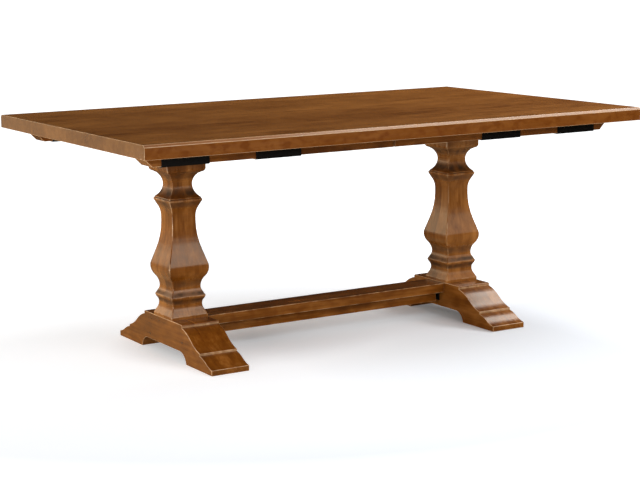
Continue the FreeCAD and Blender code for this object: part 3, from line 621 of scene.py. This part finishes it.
for node in boards:
    low, high = box_mm(node)
    outline = [(low[1], low[2]), (high[1], low[2])]
    front = abs(low[1] - top_low[1]) < NEAR
    back = abs(high[1] - top_high[1]) < NEAR
    outline += [(high[1], high[2] - CHAMFER), (high[1] - CHAMFER, high[2])] if back else [(high[1], high[2])]
    outline += [(low[1] + CHAMFER, high[2]), (low[1], high[2] - CHAMFER)] if front else [(low[1], high[2])]
    piece = settled(sawn_block(f"glued_{node}", outline, 0, low[0], high[0], EASE["top"], wood_top, shown))
    for mark, (most, axis) in TONES.items():
        amount = [most * abs(face.normal[axis]) for face in piece.data.polygons]
        piece.data.attributes.new(mark, "FLOAT", "FACE").data.foreach_set("value", amount)
    print(piece.name, stands_for(piece, "table", "top_wood", node), "faces")

# %% [markdown]
# ## The feet
#
# Each foot is a thick glued plank. Its profile steps down from a flat under the column through two ogees to a toe,
# and underneath an arch leaves two soles. The profile is half drawn and mirrored. The low risers above the ogees get
# the pale tone of the arrises, as a painted highlight. In the middle of the arch sits the pocket for the nut of the
# tie rod. A Boolean modifier cuts it, because it is a round hole in a flat face.

# %% Feet with their nut pockets
FOOT_HALF = [
    (118, 36, ("plumb", "start")), (161, 0, None), (336, 0, None), (336, 18, (110, "right")), (297, 33, (110, "left")),
    (258, 48, None), (258, 55, (150, "right")), (197.75, 84.5, (150, "left")), (137.5, 114, None),
    (137.5, 120, ("plumb", "end")), (133.5, 124, None),
]
POCKET_RADIUS, POCKET_TOP, POCKET_SIDES = 19, 55, 48
# Faces that look along the foot by more than this, above this height and larger than this in square mm, are risers.
RISER_FACING, RISERS_FROM, RISER_AREA = 0.9, 40, 300
half = traced(FOOT_HALF)
foot_outline = half + [(-along, height) for along, height in reversed(half)]
for side in SIDES:
    low, high = box_mm(f"foot_{side}")
    piece = sawn_block(f"sledge_foot_{side}", foot_outline, 0, low[0], high[0], EASE["foot"], wood_foot)
    work = bmesh.new()
    place = Matrix.Translation(((low[0] + high[0]) / 2 * MM, 0, POCKET_TOP / 2 * MM))
    bmesh.ops.create_cone(work, cap_ends=True, segments=POCKET_SIDES, radius1=POCKET_RADIUS * MM,
                          radius2=POCKET_RADIUS * MM, depth=POCKET_TOP * MM, matrix=place)
    cutter_mesh = bpy.data.meshes.new("nut_pocket")
    work.to_mesh(cutter_mesh)
    work.free()
    cutter = new_piece("nut_pocket", cutter_mesh)
    pocket = piece.modifiers.new("nut_pocket", "BOOLEAN")
    pocket.object = cutter
    settled(piece)
    bpy.data.objects.remove(cutter)
    # Risers get the full pale tone of the arrises: a painted highlight.
    wear_and_highlight = piece.data.attributes["arris"].data
    for face in piece.data.polygons:
        high_up = face.center.z > RISERS_FROM * MM
        if abs(face.normal.y) > RISER_FACING and high_up and face.area > RISER_AREA * MM ** 2:
            wear_and_highlight[face.index].value = 1.0
    print(piece.name, stands_for(piece, "table", "trestle_wood", f"foot_{side}"), "faces")

# %% [markdown]
# ## Stretcher, batten and bolsters
#
# The stretcher is a flat board between the feet, with a narrower batten under it that stops short at both ends. They
# are plain boards, so the same function makes them. The bolsters lie hidden under the top. Their solids already have
# the undercut ends and the sunk screw holes, so they stay, and only get the stain.

# %% Stretcher and bolsters
# The board's tenons are hidden in the feet, so the plank only fills the gap between these.
gap = box_mm("foot_left")[1][0], box_mm("foot_right")[0][0]
for name, node in (("stretcher_plank", "stretcher_board"), ("stretcher_rib", "stretcher_batten")):
    low, high = box_mm(node)
    start, end = max(low[0], gap[0]), min(high[0], gap[1])
    outline = [(low[1], low[2]), (high[1], low[2]), (high[1], high[2]), (low[1], high[2])]
    piece = settled(sawn_block(name, outline, 0, start, end, EASE["rail"], wood_rail))
    print(piece.name, stands_for(piece, "table", "trestle_wood", node), "faces")


def paint(finish, *starts):
    """Give the solids whose names start this way a finish."""
    painted = [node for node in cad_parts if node.startswith(starts)]
    for node in painted:
        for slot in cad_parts[node].material_slots:
            slot.material = finish
    return len(painted)


print("bolsters stained:", paint(wood_foot, "bolster_left", "bolster_right"))

# %% [markdown]
# ## The pull-out bars
#
# Four bars slide in the guides, two in line along each long side. Their outer ends are undercut, so that a hand can
# pull them and they don't knock against knees. Each one is a body of its own and moves along its joint. A turned peg
# on its hidden face stops it at the inner guide.

# %% Bars and stop pegs
# Slope under the outer end, the upright part above it, and the sides of a round peg.
UNDERCUT, NOSE, ROUND = 28, 8, 32
for row in ROWS:
    for side, sign in SIDES.items():
        bar = f"{row}_{side}"
        low, high = box_mm(f"slider_{bar}")
        inner, outer = (low[0], high[0]) if sign > 0 else (high[0], low[0])
        outline = [(inner, low[2]), (outer - sign * UNDERCUT, low[2]), (outer, high[2] - NOSE), (outer, high[2]),
                   (inner, high[2])]
        piece = settled(sawn_block(f"pull_bar_{bar}", outline, 1, low[1], high[1], EASE["bar"], wood_rail))
        faces = stands_for(piece, f"bar_{bar}", "bar_wood", f"slider_{bar}")
        low, high = box_mm(f"stop_peg_{bar}")
        x, z, radius = (low[0] + high[0]) / 2, (low[2] + high[2]) / 2, (high[0] - low[0]) / 2
        circle = [(x + math.cos(step * math.tau / ROUND) * radius, z + math.sin(step * math.tau / ROUND) * radius)
                  for step in range(ROUND)]
        peg = settled(sawn_block(f"turned_peg_{bar}", circle, 1, low[1], high[1], EASE["peg"], wood_rail))
        stands_for(peg, f"bar_{bar}", "bar_wood", f"stop_peg_{bar}")
        print(piece.name, faces, "faces, peg", round(high[1] - low[1]), "mm long")

# %% [markdown]
# ## The guides
#
# A guide is a strip of strap steel bent down around the bar and out again to two flanges. Its solid has sharp bends,
# but strap bends in an arc. A boxy mesh with bevels could copy that. With Geometry Nodes it is the way the smith makes
# it: a line along the middle of the sheet gets its bends from Fillet Curve, and Curve to Mesh runs the flat section of
# the strap along it.

# %% Guide rule
# Steps around a bend of the strap and around its rolled edge.
BEND_STEPS, EDGE_STEPS = 6, 3
tree, given = new_tree("bent_strap", [("Bend radius", "Float"), ("Sheet", "Float"), ("Width", "Float"),
                                      ("Edge ease", "Float")])
line = add(tree, "GeometryNodeMeshToCurve", {0: given["Geometry"]})
bent = add(tree, "GeometryNodeFilletCurve", {0: line.outputs[0], "Count": BEND_STEPS,
                                             "Radius": given["Bend radius"]}, mode="POLY")
level = add(tree, "GeometryNodeSetCurveNormal", {0: bent.outputs[0], "Normal": (1.0, 0.0, 0.0)}, mode="FREE")
section = add(tree, "GeometryNodeCurvePrimitiveQuadrilateral", {"Width": given["Width"], "Height": given["Sheet"]})
rolled = add(tree, "GeometryNodeFilletCurve", {0: section.outputs[0], "Count": EDGE_STEPS,
                                               "Radius": given["Edge ease"]}, mode="POLY")
strap = add(tree, "GeometryNodeCurveToMesh", {0: level.outputs[0], 1: rolled.outputs[0], "Fill Caps": True})
close_tree(tree, strap.outputs[0], given["Finish"])
guide_rule = tree
print("guide rule:", len(tree.nodes), "nodes")

# %% [markdown]
# The line of each guide comes from the boxes of its solid and of the bar inside it. Half of it is listed and mirrored.

# %% Eight guides
# Thickness of the strap, room beside the bar, middle radius of the bends and radius of the rolled edges.
SHEET, ROOM, BEND, ROLL = 2.5, 0.5, 3.0, 0.6
guides = sorted(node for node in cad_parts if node.startswith("guide_") and "screws" not in node)
for node in guides:
    low, high = box_mm(node)
    y, x = (low[1] + high[1]) / 2, (low[0] + high[0]) / 2
    _, row, side, _ = node.split("_")
    side_y = box_mm(f"slider_{row}_{side}")[1][1] - y + ROOM + SHEET / 2
    flange, top, bottom = (high[1] - low[1]) / 2, high[2] - SHEET / 2, low[2] + SHEET / 2
    half_line = [(-flange, top), (-side_y, top), (-side_y, bottom)]
    path = half_line + [(-across, height) for across, height in reversed(half_line)]
    seed = bpy.data.meshes.new(node)
    seed.from_pydata([(x * MM, (y + across) * MM, height * MM) for across, height in path],
                     [(at, at + 1) for at in range(len(path) - 1)], [])
    piece = grown(f"strap_{node}", seed, guide_rule, {"Bend radius": BEND * MM, "Sheet": SHEET * MM,
                                                      "Width": (high[0] - low[0]) * MM, "Edge ease": ROLL * MM,
                                                      "Finish": black_coat})
    print(piece.name, stands_for(piece, "table", "guide_black", node), "faces")

# %% [markdown]
# ## Screws
#
# Screws repeat, so one is made inside a tree and set on points. Each point carries the way that the screw points in.
# A head is a low cone with a cross cut into it by a Mesh Boolean. A seeded random turn leaves the crosses at all
# angles, as a driver does.

# %% Screw rule
# Radius of the flat on top of a head and width of its slots, as shares of the head's width.
CROWN, SLOT = 0.34, 0.11
HEAD_SIDES, SHANK_SIDES = 24, 16
tree, given = new_tree("cross_head_screws", [("Head", "Float"), ("Head height", "Float"), ("Shank", "Float"),
                                             ("Length", "Float"), ("Seed", "Int")])
radius = add(tree, "ShaderNodeMath", {0: given["Head"], 1: 0.5}, operation="MULTIPLY").outputs[0]
crown = add(tree, "ShaderNodeMath", {0: given["Head"], 1: CROWN}, operation="MULTIPLY").outputs[0]
head = add(tree, "GeometryNodeMeshCone", {"Vertices": HEAD_SIDES, "Radius Top": crown, "Radius Bottom": radius,
                                          "Depth": given["Head height"]})
cut_thin = add(tree, "ShaderNodeMath", {0: given["Head"], 1: SLOT}, operation="MULTIPLY").outputs[0]
raised = add(tree, "ShaderNodeCombineXYZ", {2: given["Head height"]})
slotted = head
for long_side, thin_side in ((radius, cut_thin), (cut_thin, radius)):
    size = add(tree, "ShaderNodeCombineXYZ", {0: long_side, 1: thin_side, 2: given["Head height"]})
    bar = add(tree, "GeometryNodeMeshCube", {"Size": size.outputs[0]})
    cutter = add(tree, "GeometryNodeTransform", {0: bar.outputs[0], "Translation": raised.outputs[0]})
    slotted = add(tree, "GeometryNodeMeshBoolean", {0: slotted.outputs[0], 1: cutter.outputs[0]},
                  operation="DIFFERENCE", solver="EXACT")
turned = add(tree, "GeometryNodeTransform", {0: slotted.outputs[0], "Rotation": (math.pi, 0.0, 0.0)})
thin = add(tree, "ShaderNodeMath", {0: given["Shank"], 1: 0.5}, operation="MULTIPLY").outputs[0]
stem = add(tree, "GeometryNodeMeshCylinder", {"Vertices": SHANK_SIDES, "Radius": thin, "Depth": given["Length"]})
deep = add(tree, "ShaderNodeMath", {0: given["Length"], 1: 0.5}, operation="MULTIPLY").outputs[0]
lift = add(tree, "ShaderNodeCombineXYZ", {2: deep})
shank = add(tree, "GeometryNodeTransform", {0: stem.outputs[0], "Translation": lift.outputs[0]})
screw = add(tree, "GeometryNodeJoinGeometry", {0: turned.outputs[0]})
tree.links.new(shank.outputs[0], screw.inputs[0])
inward = add(tree, "GeometryNodeInputNamedAttribute", {"Name": "inward"}, data_type="FLOAT_VECTOR")
aim = add(tree, "FunctionNodeAlignRotationToVector", {"Vector": inward.outputs[0]}, axis="Z")
chance = add(tree, "FunctionNodeRandomValue", {2: 0.0, 3: math.tau, "Seed": given["Seed"]}, data_type="FLOAT")
spin = add(tree, "FunctionNodeAxisAngleToRotation", {"Axis": (0.0, 0.0, 1.0), "Angle": chance.outputs[1]})
driven = add(tree, "FunctionNodeRotateRotation", {0: aim.outputs[0], 1: spin.outputs[0]}, rotation_space="LOCAL")
placed = add(tree, "GeometryNodeInstanceOnPoints", {"Points": given["Geometry"], "Instance": screw.outputs[0],
                                                    "Rotation": driven.outputs[0]})
close_tree(tree, placed.outputs[0], given["Finish"], smooth_below=40)
screw_rule = tree
print("screw rule:", len(tree.nodes), "nodes")

# %% [markdown]
# The places of the screws repeat the spacing of the solids. Small screws hold guides and brackets, middle ones the
# batten, large ones the bolsters. A screw's place is its seat, where the head meets what it clamps.

# %% Drive the screws
# Head width, head height, shank and length in mm.
SCREWS = {"small": (8, 2.8, 4, 22), "middle": (9.5, 3.2, 5, 42), "large": (12, 4, 6, 52)}
UP = (0.0, 0.0, 1.0)


def drive(name, size, seats, material, slot, node, seed):
    """Set screws of one size on seats given as (x, y, z in mm, direction)."""
    points = bpy.data.meshes.new(name)
    points.from_pydata([[value * MM for value in seat[:3]] for seat in seats], [], [])
    ways = [value for seat in seats for value in seat[3]]
    points.attributes.new("inward", "FLOAT_VECTOR", "POINT").data.foreach_set("vector", ways)
    head, height, shank, length = [value * MM for value in SCREWS[size]]
    piece = grown(name, points, screw_rule, {"Head": head, "Head height": height, "Shank": shank, "Length": length,
                                             "Seed": seed, "Finish": material})
    print(piece.name, len(seats), "screws,", stands_for(piece, "table", slot, node), "faces")


underside = top_low[2]
# From the ends and the edges of a guide's flange to its screws.
SCREW_MARGIN, FLANGE_MARGIN = 22, 12
for row in ROWS:
    for side in SIDES:
        seats = []
        for spot in ("outer", "inner"):
            low, high = box_mm(f"guide_{row}_{side}_{spot}")
            for x in (low[0] + SCREW_MARGIN, high[0] - SCREW_MARGIN):
                for y in (low[1] + FLANGE_MARGIN, high[1] - FLANGE_MARGIN):
                    seats.append((x, y, underside - SHEET, UP))
        drive(f"guide_screw_set_{row}_{side}", "small", seats, black_coat, "steel_black",
              f"guide_screws_{row}_{side}", seed=3)

# %% [markdown]
# The bolsters have two screws near each end and one further in on each side of the column, in deep sinks. Each bracket
# has two screws up into the stretcher and two into the foot. The batten has five in a row.

# %% Screws of bolsters, brackets and batten
# Bolster: half the space in a pair, from the ends to the pair, from the middle to the single one, depth of the sinks.
PAIR_HALF, PAIR_MARGIN, SINGLE_AT, BOLSTER_SINK = 30, 37, 90, 10
# Bracket: its sheet, half the space in a pair, from the foot to the upper pair, from the sheet down to the lower one.
BRACKET_SHEET, BRACKET_HALF, UPPER_OUT, LOWER_DOWN = 3, 13, 9, 15
# Batten: from its ends to the outer screws, depth of the sinks.
BATTEN_MARGIN, BATTEN_SINK = 60, 14
for side, sign in SIDES.items():
    low, high = box_mm(f"bolster_{side}")
    middle = (low[0] + high[0]) / 2
    seats = []
    for across in (-1, 1):
        seats += [(middle + along * PAIR_HALF, across * (high[1] - PAIR_MARGIN), low[2] + BOLSTER_SINK, UP)
                  for along in (-1, 1)]
        seats.append((middle, across * SINGLE_AT, low[2] + BOLSTER_SINK, UP))
    drive(f"bolster_screw_set_{side}", "large", seats, zinc, "steel", f"bolster_screws_{side}", seed=5)
    low, high = box_mm(f"stretcher_bracket_{side}")
    foot_face, under_board = (high[0] if sign > 0 else low[0]), high[2] - BRACKET_SHEET
    seats = []
    for across in (-BRACKET_HALF, BRACKET_HALF):
        seats.append((foot_face - sign * UPPER_OUT, across, under_board, UP))
        seats.append((foot_face - sign * BRACKET_SHEET, across, under_board - LOWER_DOWN, (float(sign), 0.0, 0.0)))
    drive(f"bracket_screw_set_{side}", "small", seats, black_coat, "steel_black", f"bracket_screws_{side}", seed=7)
low, high = box_mm("stretcher_batten")
seats = [((low[0] + BATTEN_MARGIN) * share, 0, low[2] + BATTEN_SINK, UP) for share in (-1, -0.5, 0, 0.5, 1)]
drive("batten_screw_set", "middle", seats, zinc, "steel", "batten_screws", seed=11)
print("zinc on", paint(zinc, "tie_rod", "rod_"), "solids, black on", paint(black_coat, "stretcher_bracket"))

# %% [markdown]
# ## Floor and studio
#
# The picture has a white ground with a soft shadow under the table. The floor is a sheet of matt paper. A part of its
# white comes straight from its material, for what the camera and reflections see, and the rest is lit, so that it
# keeps the shadow. That part is small under the table and to its right, where the shadow and most of the light lie,
# and grows to the left and far away. A floor that is lit alone would fade to grey there.

# %% White floor
def seen_rays(tree):
    """1 for rays that show the ground: from the camera, off gloss and through glass."""
    path = add(tree, "ShaderNodeLightPath")
    seen = path.outputs["Is Camera Ray"]
    for kind in ("Is Glossy Ray", "Is Transmission Ray"):
        seen = add(tree, "ShaderNodeMath", {0: seen, 1: path.outputs[kind]}, operation="MAXIMUM").outputs[0]
    return seen


GROUND = "#FFFFFF"
floor_paint = bpy.data.materials.new("matt_paper_floor")
floor_paint.use_nodes = True
tree = floor_paint.node_tree
matt = tree.nodes["Principled BSDF"]
matt.inputs["Base Color"].default_value = linear("#E9EEF4")
matt.inputs["Roughness"].default_value = 0.9
matt.inputs["Specular IOR Level"].default_value = 0.0
space = add(tree, "ShaderNodeTexCoord").outputs["Object"]
place = add(tree, "ShaderNodeSeparateXYZ", {0: space})
# Where along X or Y, in metres, the share of plain white goes from one value to another.
RAMPS = {"left": ("X", 0.66, -0.35, 0.0, 0.58), "front": ("Y", -1.35, -0.25, 0.16, 1.0),
         "back": ("Y", -0.05, 0.6, 0.0, 0.42)}
ramp = {side: add(tree, "ShaderNodeMapRange", {"Value": place.outputs[axis], "From Min": start, "From Max": end,
                                               "To Min": least, "To Max": most}).outputs[0]
        for side, (axis, start, end, least, most) in RAMPS.items()}
# Under the left half of the table, it is cut down to this share in the middle of an oval, and not at all at its rim,
# which is 0.52 m away along X and 0.39 m along Y.
OVAL_SHIFT, OVAL_SCALE, OVAL_REACH, OVAL_SHARE = (0.62, -0.16, 0.0), (2.5, 3.3, 1.0), 1.3, 0.2
oval = add(tree, "ShaderNodeMapping", {"Vector": space, "Location": OVAL_SHIFT, "Scale": OVAL_SCALE})
under = add(tree, "ShaderNodeVectorMath", {0: oval.outputs[0]}, operation="LENGTH")
shade = add(tree, "ShaderNodeMapRange", {"Value": under.outputs["Value"], "From Max": OVAL_REACH,
                                         "To Min": OVAL_SHARE})
# How far from the table's middle, in metres, the floor starts to turn plain white, and where it is all white.
FAR_FROM, FAR_TO = 1.3, 2.2
reach = add(tree, "ShaderNodeVectorMath", {0: space}, operation="LENGTH")
far = add(tree, "ShaderNodeMapRange", {"Value": reach.outputs["Value"], "From Min": FAR_FROM, "From Max": FAR_TO})
share = shade.outputs[0]
for operation, other in (("MULTIPLY", ramp["left"]), ("MULTIPLY", ramp["front"]), ("MAXIMUM", ramp["back"]),
                         ("MAXIMUM", far.outputs[0]), ("MULTIPLY", seen_rays(tree))):
    share = add(tree, "ShaderNodeMath", {0: share, 1: other}, operation=operation).outputs[0]
glow = add(tree, "ShaderNodeEmission", {"Color": linear(GROUND), "Strength": share})
blend = add(tree, "ShaderNodeAddShader", {0: matt.outputs[0], 1: glow.outputs[0]})
tree.links.new(blend.outputs[0], tree.nodes["Material Output"].inputs["Surface"])
FLOOR_REACH = 300
mesh = bpy.data.meshes.new("floor")
mesh.from_pydata([(x * FLOOR_REACH, y * FLOOR_REACH, 0) for x, y in ((-1, -1), (1, -1), (1, 1), (-1, 1))], [],
                 [(0, 1, 2, 3)])
floor = new_piece("floor", mesh, floor_paint)
floor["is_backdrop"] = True
print("floor:", 2 * FLOOR_REACH, "m wide")

# %% [markdown]
# Lacquer mirrors whatever stands around it. At the low angle of this view, the top would mirror the white ground and
# turn grey. A dark curtain all round and tinted mats on the floor stand for the darker room of a real studio. Only
# reflections see them, so they neither show nor shade anything.

# %% Curtain and mats
def mirrored_only(name, code, points, faces):
    """A screen of plain cloth that shows in reflections only."""
    cloth = bpy.data.materials.new(name)
    cloth.use_nodes = True
    cloth.node_tree.nodes["Principled BSDF"].inputs["Base Color"].default_value = linear(code)
    cloth.node_tree.nodes["Principled BSDF"].inputs["Specular IOR Level"].default_value = 0.0
    mesh = bpy.data.meshes.new(name)
    mesh.from_pydata(points, [], faces)
    screen = new_piece(name, mesh, cloth)
    for ray in ("camera", "diffuse", "transmission", "shadow"):
        setattr(screen, f"visible_{ray}", False)
    screen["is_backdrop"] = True
    return screen


CURTAIN_RADIUS, CURTAIN_HEIGHT, PANELS = 12.0, 12.0, 48
drum = [(CURTAIN_RADIUS * math.cos(at * math.tau / PANELS), CURTAIN_RADIUS * math.sin(at * math.tau / PANELS), level)
        for level in (0.0, CURTAIN_HEIGHT) for at in range(PANELS)]
curtain = mirrored_only("dark_curtain", "#433F37", drum,
                        [(at, (at + 1) % PANELS, (at + 1) % PANELS + PANELS, at + PANELS) for at in range(PANELS)])
# Colour, height above the floor and corners in metres. The far mat lies on the other two.
WIDE = CURTAIN_RADIUS
MATS = {"front": ("#5C4F36", 0.002, ((-WIDE, -WIDE), (WIDE, -WIDE), (WIDE, WIDE))),
        "back": ("#C4B590", 0.002, ((-WIDE, -WIDE), (WIDE, WIDE), (-WIDE, WIDE))),
        "far": ("#6E6550", 0.004, ((-0.4, 0.6), (11, 0.6), (11, WIDE), (-7.3, WIDE)))}
mats = [mirrored_only(f"{part}_mat", code, [(x, y, level) for x, y in corners], [range(len(corners))])
        for part, (code, level, corners) in MATS.items()]
print("seen in reflections:", curtain.name, [mat.name for mat in mats])

# %% [markdown]
# The world is white where it is seen, as the ground is, and weaker as a light, so that the soft boxes decide how the
# shapes are shaded. Light Path tells the two kinds of rays apart.

# %% White ground
world = bpy.data.worlds.new("studio")
bpy.context.scene.world = world
world.use_nodes = True
tree = world.node_tree
sky = tree.nodes["Background"]
AMBIENT = 0.38
sky.inputs["Color"].default_value = linear(GROUND)
strength = add(tree, "ShaderNodeMapRange", {"Value": seen_rays(tree), "To Min": AMBIENT, "To Max": 1.0})
tree.links.new(strength.outputs[0], sky.inputs["Strength"])
print("ground seen as", GROUND, "and lights at", AMBIENT)

# %% [markdown]
# ## Soft light
#
# A large soft box high on the right is the main light: it throws the soft shadow, draws the pale line along the
# chamfer and makes the sheen on the right foot. Three in front lift the mouldings. Two slightly warm ones at the back
# left give the sheen on the faces that look left; the larger one fades towards its right end, so that the top mirrors
# no hard edge. A low one near the left foot lights those faces, and light linking keeps it off the floor, as a black
# flag does in a studio. Point lamps would leave hard specks in the lacquer.

# %% Soft boxes
def soft_box(name, place, target, width, height, level, colour="#FFFFFF", skips=None, fade=0.0):
    """An area lamp whose face has a given brightness. It may skip one object, and fade over a share of its width."""
    lamp = bpy.data.lights.new(name, "AREA")
    lamp.color = linear(colour)[:3]
    lamp.shape = "RECTANGLE"
    lamp.size, lamp.size_y = width, height
    lamp.energy = level * math.pi * width * height
    if fade:
        lamp.use_nodes = True
        tree = lamp.node_tree
        across = add(tree, "ShaderNodeSeparateXYZ", {0: add(tree, "ShaderNodeNewGeometry").outputs["Parametric"]})
        dimmed = add(tree, "ShaderNodeMapRange", {"Value": across.outputs[0], "From Max": fade},
                     interpolation_type="SMOOTHSTEP")
        tree.links.new(dimmed.outputs[0], tree.nodes["Emission"].inputs["Strength"])
    box = bpy.data.objects.new(name, lamp)
    box.location = place
    box.rotation_euler = (Vector(target) - Vector(place)).to_track_quat("-Z", "Y").to_euler()
    box.visible_camera = False
    bpy.context.scene.collection.objects.link(box)
    if skips:
        skipped = bpy.data.collections.new(f"{name}_skips")
        skipped.objects.link(skips)
        skipped.collection_objects[0].light_linking.link_state = "EXCLUDE"
        box.light_linking.receiver_collection = skipped
    return f"{name} {width} x {height} m at {level}"


WARM = "#FFF0D2"
# Name, place and target, width and height in metres, brightness, and what else is special.
for *row, extra in (
        ("right_overhead", (2.25, -0.2, 2.75), (0.5, 0.0, 0.5), 2.2, 2.4, 5.4, {}),
        ("front", (0.9, -3.4, 2.25), (-0.2, 0.0, 0.45), 2.2, 2.3, 3.25, {}),
        ("front_right", (2.9, -3.4, 2.1), (0.5, 0.0, 0.45), 1.2, 1.8, 1.6, {}),
        ("front_low", (-1.9, -3.3, 0.6), (-0.2, 0.0, 0.3), 3.6, 1.0, 1.5, {}),
        ("back_left", (-2.6, 3.6, 1.5), (-0.6, 0.0, 0.4), 3.0, 1.7, 2.35, {"colour": WARM, "fade": 0.35}),
        ("back_low", (-2.6, 3.6, 0.33), (-0.6, 0.0, 0.4), 3.0, 0.5, 0.55, {"colour": WARM}),
        ("left_floor", (-1.4, -0.1, 0.33), (-0.55, 0.0, 0.38), 1.6, 0.32, 6.6, {"skips": floor})):
    print(soft_box(*row, **extra))

# %% [markdown]
# ## The camera
#
# The view was worked out from the straight edges of the table in the picture: where the camera stands, how far it
# turns, nods and leans, and how long its lens is. The picture is 640 pixels wide and the sensor 36 mm, so a focal
# length in pixels becomes millimetres by their ratio.

# %% Camera
YAW, NOD, LEAN = math.radians(31.18), math.radians(9.90), math.radians(-0.68)
FOCAL_PIXELS, PICTURE_WIDTH, SENSOR = 1660.6, 640, 36.0
CAMERA_AT = -2.8797, -4.7462, 1.2862
# Beyond the corners of the floor, in metres.
FAR_CLIP = 1000
ahead = Vector((math.sin(YAW) * math.cos(NOD), math.cos(YAW) * math.cos(NOD), -math.sin(NOD)))
level_right = Vector((math.cos(YAW), -math.sin(YAW), 0.0))
level_up = level_right.cross(ahead)
right = math.cos(LEAN) * level_right + math.sin(LEAN) * level_up
up = math.cos(LEAN) * level_up - math.sin(LEAN) * level_right
lens = bpy.data.cameras.new("camera")
lens.sensor_width = SENSOR
lens.lens = FOCAL_PIXELS * SENSOR / PICTURE_WIDTH
lens.clip_end = FAR_CLIP
camera = bpy.data.objects.new("camera", lens)
turn = Matrix((right, up, -ahead)).transposed().to_4x4()
camera.matrix_world = Matrix.Translation(CAMERA_AT) @ turn
bpy.context.scene.collection.objects.link(camera)
bpy.context.scene.camera = camera
bpy.context.scene.view_settings.view_transform = "Standard"
print("lens", round(lens.lens, 2), "mm")

# %% [markdown]
# ## The size of the dressed table
#
# The dressed table must not be larger than its solids. Its box is measured here.

# %% Size of the dressed table
low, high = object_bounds()
